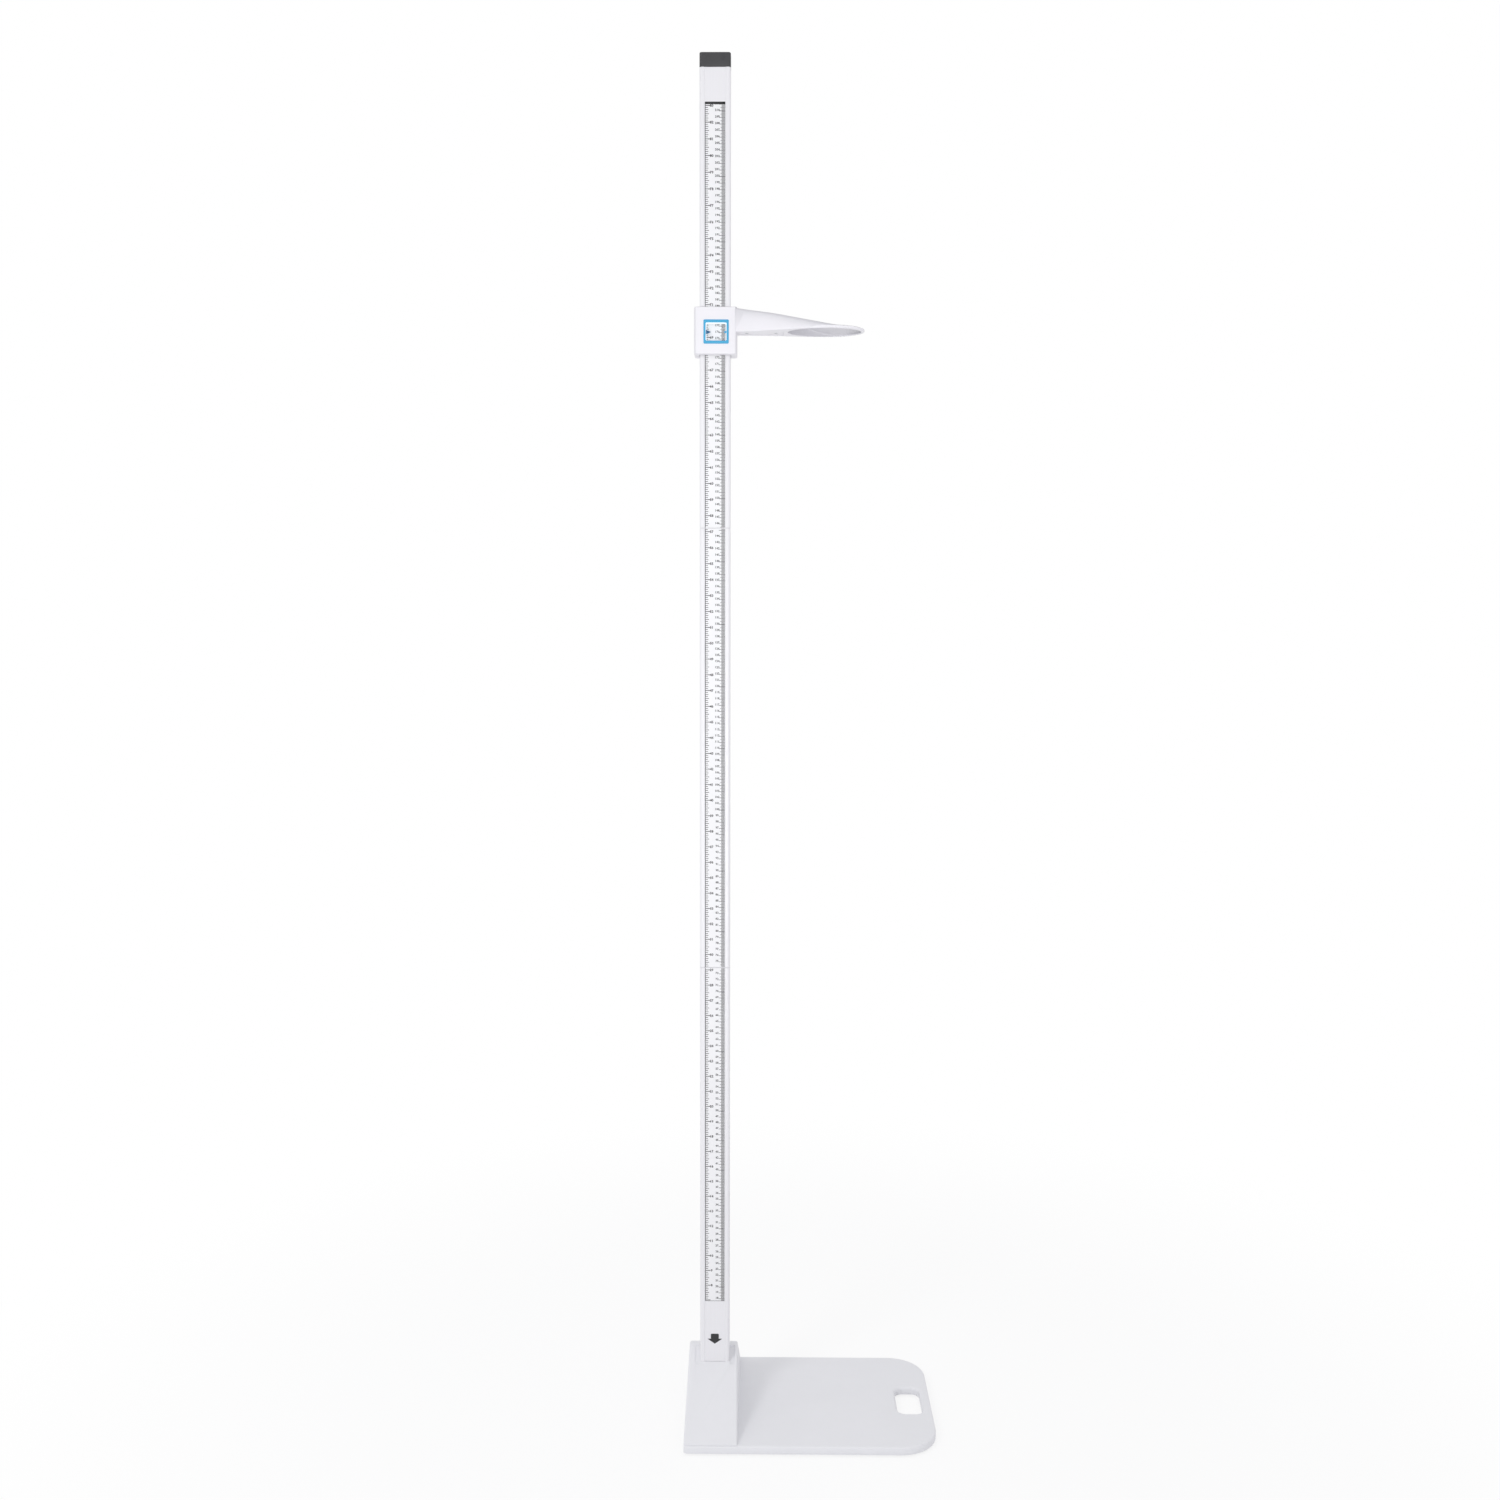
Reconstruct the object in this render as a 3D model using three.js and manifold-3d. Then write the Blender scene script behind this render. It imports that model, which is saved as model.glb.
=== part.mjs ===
// Portable stadiometer: a flat platform with a column holder at one end, a column of three
// plug-together sections that carries the scale, and a headpiece that slides on the column.
// Millimetres. X runs along the platform to its free end, -Y is the side that shows the scale,
// Z is up. The origin is on the floor under the middle of the platform.

import * as THREE from 'three';
import { mergeVertices } from 'three/addons/utils/BufferGeometryUtils.js';
import Module from 'manifold-3d';

const wasm = await Module();
wasm.setup();

// Clearances shared by all pieces
const fit = 0.3;
const slideFit = 0.3;
const overrun = 10;

// Platform
const platformLength = 407;
const platformWidth = 294;
const platformThickness = 13;
const platformSkin = 3;
const platformWall = 3;
const platformEdgeRadius = 3;
const freeCornerRadius = 61;
const heelCornerRadius = 6;
const ribWidth = 2;
const ribAlongShares = [-0.56, 0, 0.56];
const ribAcrossShares = [-0.42, -0.05, 0.3, 0.6];

// Handle opening through the platform
const handleWidth = 42;
const handleLength = 84;
const handleCornerRadius = 14;
const handleEdgeChamfer = 5;
const handleFromFreeEnd = 36;

// Underplate and feet
const underplateThickness = 1.5;
const footRadius = 10;
const footHeight = 3;
const footInset = 34;
const footRecessDepth = 2;

// Column holder, a ridge across the heel end of the platform
const holderHeelReach = 45.5;
const holderPlatformReach = 40.2;
const holderHeelDraft = 2.2;
const holderPlatformDraft = 3.2;
const holderCrestHeight = 91;
const holderCrestBehindColumn = 25;
const holderToeHeight = 2;
const holderToeInset = 1;
const holderCrestRadius = 14;
const holderWall = 3;
const holderColumnFit = 0.5;
const holderBossRadius = 5;
const holderBossAcross = 58;
const holderFrontBossInset = 58;
const holderRearBossInset = 50;
const pocketWidth = 8.5;
const pocketRearReach = 16;
const pocketDepth = 3.5;
const holderSleeveRise = 47;

// Steel socket under the holder
const socketPlateLength = 72;
const socketPlateWidth = 96;
const socketPlateThickness = 2;
const socketWall = 2;
const socketHeight = 46;
const socketFit = 0.4;
const socketScrewAcross = 62;
const socketScrewAlong = 76;

// Screws
const screwRadius = 2;
const screwHeadRadius = 4;
const screwHeadHeight = 2.4;
const screwLength = 12;
const screwBossRadius = 5;
const footScrewHeadHeight = 1.6;
const footScrewLength = 9;
const smallScrewRadius = 1.6;
const smallScrewHeadRadius = 3.4;
const smallScrewHeadHeight = 1.6;
const smallScrewLength = 6;
const housingScrewRadius = 1.2;
const housingScrewHeadRadius = 2.4;
const housingScrewHeadHeight = 1.6;
const housingScrewLength = 26;
const screwCrownShares = { radius: 0.8, height: 0.7 };

// Column sections
const columnWidth = 49;
const columnDepth = 26;
const columnCornerRadius = 4;
const columnWall = 2;
const sectionLength = 713;
const seamGap = 0.4;
const channelWidth = 33;
const channelDepth = 0.8;
const columnFootHeight = 24.4;

// Joiners between the sections
const joinerWall = 2.5;
const joinerHeldLength = 50;
const joinerReach = 55;
const joinerScrewSpacing = 24;
const joinerScrewInset = 25;

// Top cap
const capHeight = 22;
const capTaper = 1.1;
const capPlugDepth = 30;

// Scale strips and arrow label
const scaleLow = 176;
const scaleBelowColumnTop = 52.8;
const stripWidth = 32;
const stripThickness = 0.4;
const stripEndGap = 0.5;
const arrowWidth = 20;
const arrowStemWidth = 10.5;
const arrowHeadHeight = 8.6;
const arrowStemHeight = 8.6;
const arrowTipHeight = 102;
const arrowThickness = 0.3;

// Headpiece housing, placed by the height that it reads
const restReading = 1760;
const housingWidth = 68;
const housingOffset = 1;
const housingDepth = 40;
const housingFrontReach = 21;
const housingAbove = 39;
const housingBelow = 35;
const housingWall = 2.5;
const housingCornerRadius = 5;
const housingEdgeRadius = 2;
const housingColumnFit = 0.8;
const housingBossWidth = 4.9;
const housingBossHeight = 6;
const housingBossRise = 20;

// Window in the housing
const windowOffset = 2;
const windowWidth = 40;
const windowHeight = 37.5;
const windowFlangeInset = 2.3;
const windowProud = 0.8;
const windowOpeningWidth = 33;
const windowOpeningHeight = 28;
const windowCornerRadius = 2;
const windowBodyDepth = 6.5;
const lensThickness = 1.2;
const lensRecess = 2.3;
const pointerLength = 5;
const pointerHeight = 5.6;
const smallPointerLength = 3;
const smallPointerHeight = 3.6;
const pointerThickness = 2.2;

// Arm and paddle, measured from the column's middle
const armNeckFront = 21;
const armNeckRear = 13;
const armNeckStraight = 45;
const armTipReach = 236;
const armRootHeight = 37.5;
const armTipHeight = 5;
const armCrownHeight = 12.5;
const armCrownForward = 12;
const armWall = 2.5;
const paddleWidestReach = 183;
const paddleFront = 53.5;
const paddleRear = 24;
const neckSwellShares = { start: 0.36, end: 0.65, lean: 0.15 };
const noseShares = { side: 0.6, tip: 0.5 };
const hollowMiddleReach = 173;
const hollowMiddleForward = 12;
const hollowHalfLength = 58;
const hollowHalfWidth = 32;

// Cover under the arm's neck
const neckCoverStart = 38;
const neckCoverEnd = 108;
const neckCoverWidth = 26;
const neckCoverThickness = 2;
const neckCoverRecess = 0.4;
const neckCoverCornerRadius = 4;
const neckBossRadius = 4;
const neckScrewInset = 12;

// Slide bushes and brake inside the housing
const bushHeight = 7;
const bushInset = 1.5;
const brakePadWidth = 20;
const brakePadHeight = 16;
const brakePadThickness = 1.3;
const brakeSpringWidth = 34;
const brakeSpringHeight = 10;
const brakeSpringThickness = 0.4;
const brakeSpringRise = 0.9;

// Arc steps
const cornerSteps = 3;
const edgeSteps = 2;
const roundSteps = 10;
const footSteps = 20;
const curveSteps = 9;

// Heights and places that follow from the sizes
const platformBottom = footHeight;
const platformTop = platformBottom + platformThickness;
const skinBottom = platformTop - platformSkin;
const underplateTop = platformBottom + underplateThickness;
const columnX = -platformLength / 2 + holderHeelReach;
const socketFloor = platformTop + socketPlateThickness;
const columnFootBottom = socketFloor + fit;
const columnFootTop = columnFootBottom + columnFootHeight;
const lowerBottom = columnFootTop + fit;
const lowerTop = lowerBottom + sectionLength;
const middleBottom = lowerTop + seamGap;
const middleTop = middleBottom + sectionLength;
const upperBottom = middleTop + seamGap;
const upperTop = upperBottom + sectionLength;
const channelFloorY = -columnDepth / 2 + channelDepth;
const innerWidth = columnWidth - 2 * columnWall;
const innerDepth = columnDepth - 2 * columnWall;
const innerRadius = columnCornerRadius - columnWall / 2;
const readingZ = platformTop + restReading;
const housingFrontY = -housingFrontReach;
const housingRearY = housingFrontY + housingDepth;
const housingMiddleY = (housingFrontY + housingRearY) / 2;
const housingInnerRearY = housingRearY - housingWall;

// Finishes
const whitePlastic = new THREE.MeshStandardMaterial({ color: 0xe3e4ea, roughness: 0.42, metalness: 0 });
const housingPlastic = new THREE.MeshStandardMaterial({ color: 0xf1f0f8, roughness: 0.35, metalness: 0 });
const columnPaint = new THREE.MeshStandardMaterial({ color: 0xeceef3, roughness: 0.4, metalness: 0.1 });
const scaleFilm = new THREE.MeshStandardMaterial({ color: 0xf6f6f8, roughness: 0.3, metalness: 0 });
const blackPlastic = new THREE.MeshStandardMaterial({ color: 0x2c2c2e, roughness: 0.45, metalness: 0 });
const blackInk = new THREE.MeshStandardMaterial({ color: 0x0c0c0c, roughness: 0.5, metalness: 0 });
const bluePlastic = new THREE.MeshStandardMaterial({ color: 0x46afe1, roughness: 0.3, metalness: 0 });
const clearPlastic = new THREE.MeshStandardMaterial({ color: 0xe8f2f6, roughness: 0.05, metalness: 0 });
const innerPlastic = new THREE.MeshStandardMaterial({ color: 0xb9bcc0, roughness: 0.5, metalness: 0 });
const slidePlastic = new THREE.MeshStandardMaterial({ color: 0xd8d6cc, roughness: 0.4, metalness: 0 });
const feltPad = new THREE.MeshStandardMaterial({ color: 0x5a5c60, roughness: 0.95, metalness: 0 });
const rubber = new THREE.MeshStandardMaterial({ color: 0x2a2a2a, roughness: 0.85, metalness: 0 });
const zincSteel = new THREE.MeshStandardMaterial({ color: 0xa8acb0, roughness: 0.35, metalness: 1 });
const springSteel = new THREE.MeshStandardMaterial({ color: 0x8f9398, roughness: 0.3, metalness: 1 });

// Outlines

function roundedRectangle(width, height, radius) {
  const x = width / 2;
  const y = height / 2;
  const shape = new THREE.Shape();
  shape.moveTo(-x + radius, -y);
  shape.lineTo(x - radius, -y);
  shape.absarc(x - radius, -y + radius, radius, -Math.PI / 2, 0);
  shape.lineTo(x, y - radius);
  shape.absarc(x - radius, y - radius, radius, 0, Math.PI / 2);
  shape.lineTo(-x + radius, y);
  shape.absarc(-x + radius, y - radius, radius, Math.PI / 2, Math.PI);
  shape.lineTo(-x, -y + radius);
  shape.absarc(-x + radius, -y + radius, radius, Math.PI, 1.5 * Math.PI);
  return shape;
}

function platformOutline(inset) {
  const x = platformLength / 2 - inset;
  const y = platformWidth / 2 - inset;
  const free = freeCornerRadius - inset;
  const heel = Math.max(heelCornerRadius - inset, inset / 2);
  const shape = new THREE.Shape();
  shape.moveTo(-x + heel, -y);
  shape.lineTo(x - free, -y);
  shape.absarc(x - free, -y + free, free, -Math.PI / 2, 0);
  shape.lineTo(x, y - free);
  shape.absarc(x - free, y - free, free, 0, Math.PI / 2);
  shape.lineTo(-x + heel, y);
  shape.absarc(-x + heel, y - heel, heel, Math.PI / 2, Math.PI);
  shape.lineTo(-x, -y + heel);
  shape.absarc(-x + heel, -y + heel, heel, Math.PI, 1.5 * Math.PI);
  return shape;
}

function polygon(points) {
  const shape = new THREE.Shape();
  shape.moveTo(points[0][0], points[0][1]);
  for (const [x, y] of points.slice(1)) {
    shape.lineTo(x, y);
  }
  return shape;
}

// Rounds one corner of an outline that is being drawn, between two straight runs.
function cornerTo(shape, from, corner, to, radius) {
  const start = new THREE.Vector2(...corner);
  const back = new THREE.Vector2(...from).sub(start).normalize().multiplyScalar(radius).add(start);
  const ahead = new THREE.Vector2(...to).sub(start).normalize().multiplyScalar(radius).add(start);
  shape.lineTo(back.x, back.y);
  shape.quadraticCurveTo(corner[0], corner[1], ahead.x, ahead.y);
}

// Bodies: an outline is extruded along one axis from low to high, with an optional rounded edge.

function extruded(shape, low, high, edge = 0, steps = cornerSteps, rounds = edgeSteps) {
  const geometry = new THREE.ExtrudeGeometry(shape, {
    depth: high - low - 2 * edge,
    curveSegments: steps,
    bevelEnabled: edge > 0,
    bevelThickness: edge,
    bevelSize: edge,
    bevelOffset: -edge,
    bevelSegments: rounds,
  });
  return geometry.translate(0, 0, low + edge);
}

function alongX(geometry) {
  const turn = new THREE.Matrix4();
  turn.makeBasis(new THREE.Vector3(0, 1, 0), new THREE.Vector3(0, 0, 1), new THREE.Vector3(1, 0, 0));
  return geometry.applyMatrix4(turn);
}

// The outline's own X and Y become X and Z, and the body runs from -high to -low along Y.
function alongY(shape, low, high, edge = 0, steps = cornerSteps) {
  return extruded(shape, -high, -low, edge, steps).rotateX(Math.PI / 2);
}

function box(x0, x1, y0, y1, z0, z1) {
  const geometry = new THREE.BoxGeometry(x1 - x0, y1 - y0, z1 - z0);
  return geometry.translate((x0 + x1) / 2, (y0 + y1) / 2, (z0 + z1) / 2);
}

function cylinderZ(radius, x, y, z0, z1, steps = roundSteps) {
  const geometry = new THREE.CylinderGeometry(radius, radius, z1 - z0, steps);
  return geometry.rotateX(Math.PI / 2).translate(x, y, (z0 + z1) / 2);
}

function cylinderY(radius, x, z, y0, y1) {
  const geometry = new THREE.CylinderGeometry(radius, radius, y1 - y0, roundSteps);
  return geometry.translate(x, (y0 + y1) / 2, z);
}

// Solids for cutting and joining

function solid(geometry) {
  const plain = geometry.clone();
  plain.deleteAttribute('normal');
  plain.deleteAttribute('uv');
  const merged = mergeVertices(plain);
  const mesh = new wasm.Mesh({
    numProp: 3,
    vertProperties: new Float32Array(merged.attributes.position.array),
    triVerts: new Uint32Array(merged.index.array),
  });
  return new wasm.Manifold(mesh);
}

function joined(...geometries) {
  return geometries.map(asSolid).reduce((sum, item) => sum.add(item));
}

function asSolid(item) {
  return item.isBufferGeometry ? solid(item) : item;
}

function cut(body, ...tools) {
  return tools.map(asSolid).reduce((rest, tool) => rest.subtract(tool), asSolid(body));
}

function common(first, second) {
  return asSolid(first).intersect(asSolid(second));
}

function toGeometry(item) {
  if (item.isBufferGeometry) {
    return item;
  }
  const mesh = item.getMesh();
  const geometry = new THREE.BufferGeometry();
  geometry.setAttribute('position', new THREE.BufferAttribute(new Float32Array(mesh.vertProperties), 3));
  geometry.setIndex(new THREE.BufferAttribute(new Uint32Array(mesh.triVerts), 1));
  geometry.computeVertexNormals();
  return geometry;
}

function piece(name, item, material) {
  const mesh = new THREE.Mesh(toGeometry(item), material);
  mesh.name = name;
  return mesh;
}

// A plain screw along +Z: its head's top is at the origin and its shank runs down.
function screwBody(shankRadius, headRadius, headHeight, length) {
  const profile = [
    new THREE.Vector2(0, -headHeight - length),
    new THREE.Vector2(shankRadius, -headHeight - length),
    new THREE.Vector2(shankRadius, -headHeight),
    new THREE.Vector2(headRadius, -headHeight),
    new THREE.Vector2(headRadius, headHeight * (screwCrownShares.height - 1)),
    new THREE.Vector2(headRadius * screwCrownShares.radius, 0),
    new THREE.Vector2(0, 0),
  ];
  return new THREE.LatheGeometry(profile, roundSteps).rotateX(Math.PI / 2);
}

// Places that repeat

function corners(spanX, spanY, middleX = 0, middleY = 0) {
  const places = [];
  for (const signX of [-1, 1]) {
    for (const signY of [-1, 1]) {
      places.push([middleX + signX * spanX / 2, middleY + signY * spanY / 2]);
    }
  }
  return places;
}

const footPlaces = corners(platformLength - 2 * footInset, platformWidth - 2 * footInset);
const socketScrewPlaces = corners(socketScrewAcross, socketScrewAlong, columnX, 0);
const holderScrewPlaces = [];
for (const sign of [-1, 1]) {
  const screwX = columnX + sign * holderBossAcross / 2;
  holderScrewPlaces.push([screwX, holderFrontBossInset - platformWidth / 2]);
  holderScrewPlaces.push([screwX, platformWidth / 2 - holderRearBossInset]);
}

// Platform

function handleShape(growth) {
  return roundedRectangle(handleWidth + 2 * growth, handleLength + 2 * growth, handleCornerRadius + growth);
}

function handleCutter() {
  const middleX = platformLength / 2 - handleFromFreeEnd;
  const through = extruded(handleShape(0), -overrun, platformTop + overrun);
  const flareTop = platformTop + handleEdgeChamfer;
  const flareBottom = platformTop - handleEdgeChamfer;
  const flareShape = handleShape(handleEdgeChamfer);
  const flare = extruded(flareShape, flareBottom, flareTop, handleEdgeChamfer, cornerSteps, 1);
  return joined(through, flare).translate([middleX, 0, 0]);
}

function platformRibs() {
  const x = platformLength / 2 - platformWall;
  const y = platformWidth / 2 - platformWall;
  const low = underplateTop + fit;
  const ribs = [];
  for (const share of ribAlongShares) {
    const middle = share * y;
    ribs.push(box(-x, x, middle - ribWidth / 2, middle + ribWidth / 2, low, skinBottom));
  }
  for (const share of ribAcrossShares) {
    const middle = share * x;
    ribs.push(box(middle - ribWidth / 2, middle + ribWidth / 2, -y, y, low, skinBottom));
  }
  return joined(...ribs);
}

function buildPlatform() {
  const outline = platformOutline(0);
  const tall = extruded(outline, platformBottom - overrun, platformTop, platformEdgeRadius, curveSteps);
  const below = box(
    -platformLength, platformLength, -platformWidth, platformWidth, -2 * overrun, platformBottom);
  const slab = cut(tall, below);
  const handleX = platformLength / 2 - handleFromFreeEnd;
  const surround = extruded(handleShape(platformWall), platformBottom, platformTop);
  surround.translate(handleX, 0, 0);
  const bosses = [];
  for (const [x, y] of footPlaces) {
    bosses.push(cylinderZ(screwBossRadius, x, y, underplateTop + fit, skinBottom + fit));
  }
  for (const [x, y] of socketScrewPlaces) {
    bosses.push(cylinderZ(screwBossRadius, x, y, underplateTop + fit, skinBottom + fit));
  }
  const tray = extruded(platformOutline(platformWall), platformBottom - overrun, skinBottom, 0, curveSteps);
  const hollow = cut(tray, platformRibs(), surround, ...bosses);
  const holes = [];
  for (const [x, y] of footPlaces) {
    holes.push(cylinderZ(screwRadius + fit, x, y, platformBottom, skinBottom));
  }
  for (const [x, y] of socketScrewPlaces) {
    holes.push(cylinderZ(screwRadius + fit, x, y, platformBottom, platformTop + overrun));
  }
  for (const [x, y] of holderScrewPlaces) {
    holes.push(cylinderZ(screwRadius + fit, x, y, platformBottom, platformTop + overrun));
    holes.push(cylinderZ(screwHeadRadius + fit, x, y, platformBottom, skinBottom));
  }
  return cut(slab, hollow, handleCutter(), ...holes);
}

function buildUnderplate() {
  const sheet = extruded(platformOutline(platformWall + fit), platformBottom, underplateTop, 0, curveSteps);
  const handleX = platformLength / 2 - handleFromFreeEnd;
  const handleClear = extruded(handleShape(platformWall + fit), -overrun, platformTop);
  handleClear.translate(handleX, 0, 0);
  const holes = footPlaces.map(([x, y]) => cylinderZ(screwRadius + fit, x, y, -overrun, platformTop));
  return cut(sheet, handleClear, ...holes);
}

function buildFoot(x, y) {
  const disc = cylinderZ(footRadius, x, y, 0, footHeight, footSteps);
  const recess = cylinderZ(screwHeadRadius + fit, x, y, -overrun, footRecessDepth);
  const hole = cylinderZ(screwRadius + fit, x, y, -overrun, footHeight + overrun);
  return cut(disc, recess, hole);
}

// Column holder

function holderSide(drop) {
  const front = -platformWidth / 2 + holderToeInset;
  const rear = platformWidth / 2 - holderToeInset;
  const crest = [holderCrestBehindColumn, platformTop + holderCrestHeight - drop];
  const frontToe = [front, platformTop + holderToeHeight - drop];
  const rearToe = [rear, platformTop + holderToeHeight - drop];
  const shape = new THREE.Shape();
  shape.moveTo(front, platformTop - drop);
  shape.lineTo(...frontToe);
  cornerTo(shape, frontToe, crest, rearToe, holderCrestRadius);
  shape.lineTo(...rearToe);
  shape.lineTo(rear, platformTop - drop);
  return shape;
}

function holderEnd(inset) {
  const heel = holderHeelReach - inset;
  const free = holderPlatformReach - inset;
  const high = platformTop + holderCrestHeight;
  const shape = new THREE.Shape();
  shape.moveTo(-heel, platformTop - overrun);
  shape.lineTo(free, platformTop - overrun);
  shape.lineTo(free, platformTop);
  shape.lineTo(free - holderPlatformDraft, high);
  shape.lineTo(holderHeelDraft - heel, high);
  shape.lineTo(-heel, platformTop);
  return shape;
}

function holderProfile(drop) {
  return alongX(extruded(holderSide(drop), -platformWidth, platformWidth));
}

function holderBody(inset, drop) {
  const side = holderProfile(drop);
  const end = alongY(holderEnd(inset), -platformWidth, platformWidth);
  return common(side, end);
}

function pocketOutline(growth) {
  const radius = pocketWidth / 2 + growth;
  const shape = new THREE.Shape();
  shape.moveTo(radius, -columnDepth / 2);
  shape.lineTo(radius, pocketRearReach + growth);
  shape.lineTo(-radius, pocketRearReach + growth);
  shape.lineTo(-radius, -columnDepth / 2);
  shape.absarc(0, -columnDepth / 2, radius, Math.PI, 2 * Math.PI);
  return shape;
}

// A recess beside the column, whose floor follows the holder's slope and lies below it by drop.
function pocket(sign, growth, drop) {
  const middle = sign * (columnWidth / 2 + pocketWidth / 2);
  const upright = extruded(pocketOutline(growth), platformTop, platformTop + holderCrestHeight + overrun);
  return cut(upright.translate(middle, 0, 0), holderProfile(drop));
}

function columnOutline(growth) {
  return roundedRectangle(columnWidth + 2 * growth, columnDepth + 2 * growth, columnCornerRadius + growth);
}

function buildHolder() {
  const sleeveBottom = platformTop + holderSleeveRise;
  const high = platformTop + holderCrestHeight + overrun;
  const outer = holderBody(0, 0);
  const slope = holderCrestHeight / (platformWidth / 2 + holderCrestBehindColumn);
  const drop = holderWall * Math.hypot(1, slope);
  const liner = joined(
    extruded(columnOutline(holderColumnFit + holderWall), sleeveBottom, high),
    pocket(-1, holderWall, pocketDepth + drop),
    pocket(1, holderWall, pocketDepth + drop),
  );
  const bosses = holderScrewPlaces.map(([x, y]) =>
    cylinderZ(holderBossRadius, x - columnX, y, platformTop, high));
  const inside = cut(holderBody(holderWall, drop), liner, ...bosses);
  const pilots = holderScrewPlaces.map(([x, y]) =>
    cylinderZ(screwRadius + fit, x - columnX, y, platformTop - overrun, platformTop + screwLength));
  const shell = cut(
    outer,
    inside,
    extruded(columnOutline(holderColumnFit), sleeveBottom - overrun, high),
    pocket(-1, 0, pocketDepth),
    pocket(1, 0, pocketDepth),
    ...pilots,
  );
  return shell.translate([columnX, 0, 0]);
}

function buildSocket() {
  const plate = extruded(
    roundedRectangle(socketPlateLength, socketPlateWidth, columnCornerRadius), platformTop, socketFloor);
  const sleeveTop = platformTop + socketHeight;
  const sleeve = extruded(columnOutline(socketFit + socketWall), platformTop, sleeveTop);
  const bore = extruded(columnOutline(socketFit), socketFloor, sleeveTop + overrun);
  const holes = socketScrewPlaces.map(([x, y]) =>
    cylinderZ(screwRadius + fit, x - columnX, y, platformTop - overrun, socketFloor + overrun));
  return cut(joined(plate, sleeve), bore, ...holes).translate([columnX, 0, 0]);
}

// Column

function sectionProfile() {
  const x = columnWidth / 2;
  const y = columnDepth / 2;
  const r = columnCornerRadius;
  const channel = channelWidth / 2;
  const shape = new THREE.Shape();
  shape.moveTo(-x + r, -y);
  shape.lineTo(-channel - channelDepth, -y);
  shape.lineTo(-channel, -y + channelDepth);
  shape.lineTo(channel, -y + channelDepth);
  shape.lineTo(channel + channelDepth, -y);
  shape.lineTo(x - r, -y);
  shape.absarc(x - r, -y + r, r, -Math.PI / 2, 0);
  shape.lineTo(x, y - r);
  shape.absarc(x - r, y - r, r, 0, Math.PI / 2);
  shape.lineTo(-x + r, y);
  shape.absarc(-x + r, y - r, r, Math.PI / 2, Math.PI);
  shape.lineTo(-x, -y + r);
  shape.absarc(-x + r, -y + r, r, Math.PI, 1.5 * Math.PI);
  shape.holes.push(roundedRectangle(innerWidth, innerDepth, innerRadius));
  return shape;
}

// The pair of flush screws that holds a plug, seen from behind the column.
function screwPair(height) {
  return [-1, 1].map((sign) => [columnX + sign * joinerScrewSpacing / 2, height]);
}

function buildSection(bottom, screwHeights) {
  const tube = extruded(sectionProfile(), bottom, bottom + sectionLength).translate(columnX, 0, 0);
  const holes = screwHeights.flatMap(screwPair).map(([x, z]) =>
    cylinderY(smallScrewHeadRadius + fit, x, z, 0, columnDepth));
  return cut(tube, ...holes);
}

function plugTube(low, high, floor) {
  const width = innerWidth - 2 * fit;
  const depth = innerDepth - 2 * fit;
  const outside = extruded(roundedRectangle(width, depth, innerRadius - fit), low, high);
  const bore = extruded(
    roundedRectangle(width - 2 * joinerWall, depth - 2 * joinerWall, innerRadius - fit),
    floor, high + overrun);
  return [outside.translate(columnX, 0, 0), bore.translate(columnX, 0, 0)];
}

function plugScrewHoles(height) {
  return screwPair(height).map(([x, z]) => cylinderY(smallScrewRadius + fit, x, z, 0, columnDepth));
}

function buildJoiner(seam) {
  const low = seam - joinerHeldLength;
  const [outside, bore] = plugTube(low, seam + joinerReach, low - overrun);
  return cut(outside, bore, ...plugScrewHoles(seam - joinerScrewInset));
}

function buildColumnFoot() {
  const plugTop = lowerBottom + joinerHeldLength;
  const [outside, bore] = plugTube(columnFootTop - fit, plugTop, columnFootBottom + joinerWall);
  const block = extruded(columnOutline(0), columnFootBottom, columnFootTop).translate(columnX, 0, 0);
  return cut(joined(outside, block), bore, ...plugScrewHoles(lowerBottom + joinerScrewInset));
}

function buildCap() {
  const base = upperTop + fit;
  const head = extruded(columnOutline(0), base, base + capHeight, capTaper, cornerSteps, 2);
  const below = box(-columnWidth, columnWidth, -columnDepth, columnDepth, base, base + capTaper);
  const skirt = extruded(columnOutline(0), base, base + capHeight / 2);
  const plugLow = upperTop - capPlugDepth;
  const [plug, bore] = plugTube(plugLow, base + capTaper, plugLow - overrun);
  const crown = box(-platformLength, platformLength, -columnDepth, columnDepth, base, 2 * upperTop);
  const top = joined(cut(head, below), skirt).translate([columnX, 0, 0]);
  return cut(joined(top, plug), cut(bore, crown));
}

function buildStrip(low, high) {
  const back = channelFloorY;
  const front = back - stripThickness;
  return box(columnX - stripWidth / 2, columnX + stripWidth / 2, front, back, low, high);
}

function buildArrow() {
  const tip = platformTop + arrowTipHeight;
  const neck = tip + arrowHeadHeight;
  const shape = polygon([
    [0, tip],
    [arrowWidth / 2, neck],
    [arrowStemWidth / 2, neck],
    [arrowStemWidth / 2, neck + arrowStemHeight],
    [-arrowStemWidth / 2, neck + arrowStemHeight],
    [-arrowStemWidth / 2, neck],
    [-arrowWidth / 2, neck],
  ]);
  return alongY(shape, channelFloorY - arrowThickness, channelFloorY).translate(columnX, 0, 0);
}

// Headpiece, built about the column's middle with Z zero at the height that it reads

const wallReach = housingWidth / 2 - housingWall;
const windowBodyWidth = windowWidth - 2 * windowFlangeInset;
const windowBodyHeight = windowHeight - 2 * windowFlangeInset;
const bossInner = wallReach - housingBossWidth;
const bossMiddle = (wallReach + bossInner) / 2;
const bossPlaces = corners(2 * bossMiddle, 2 * housingBossRise, housingOffset, 0);
const armRoot = housingOffset + wallReach;

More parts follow.
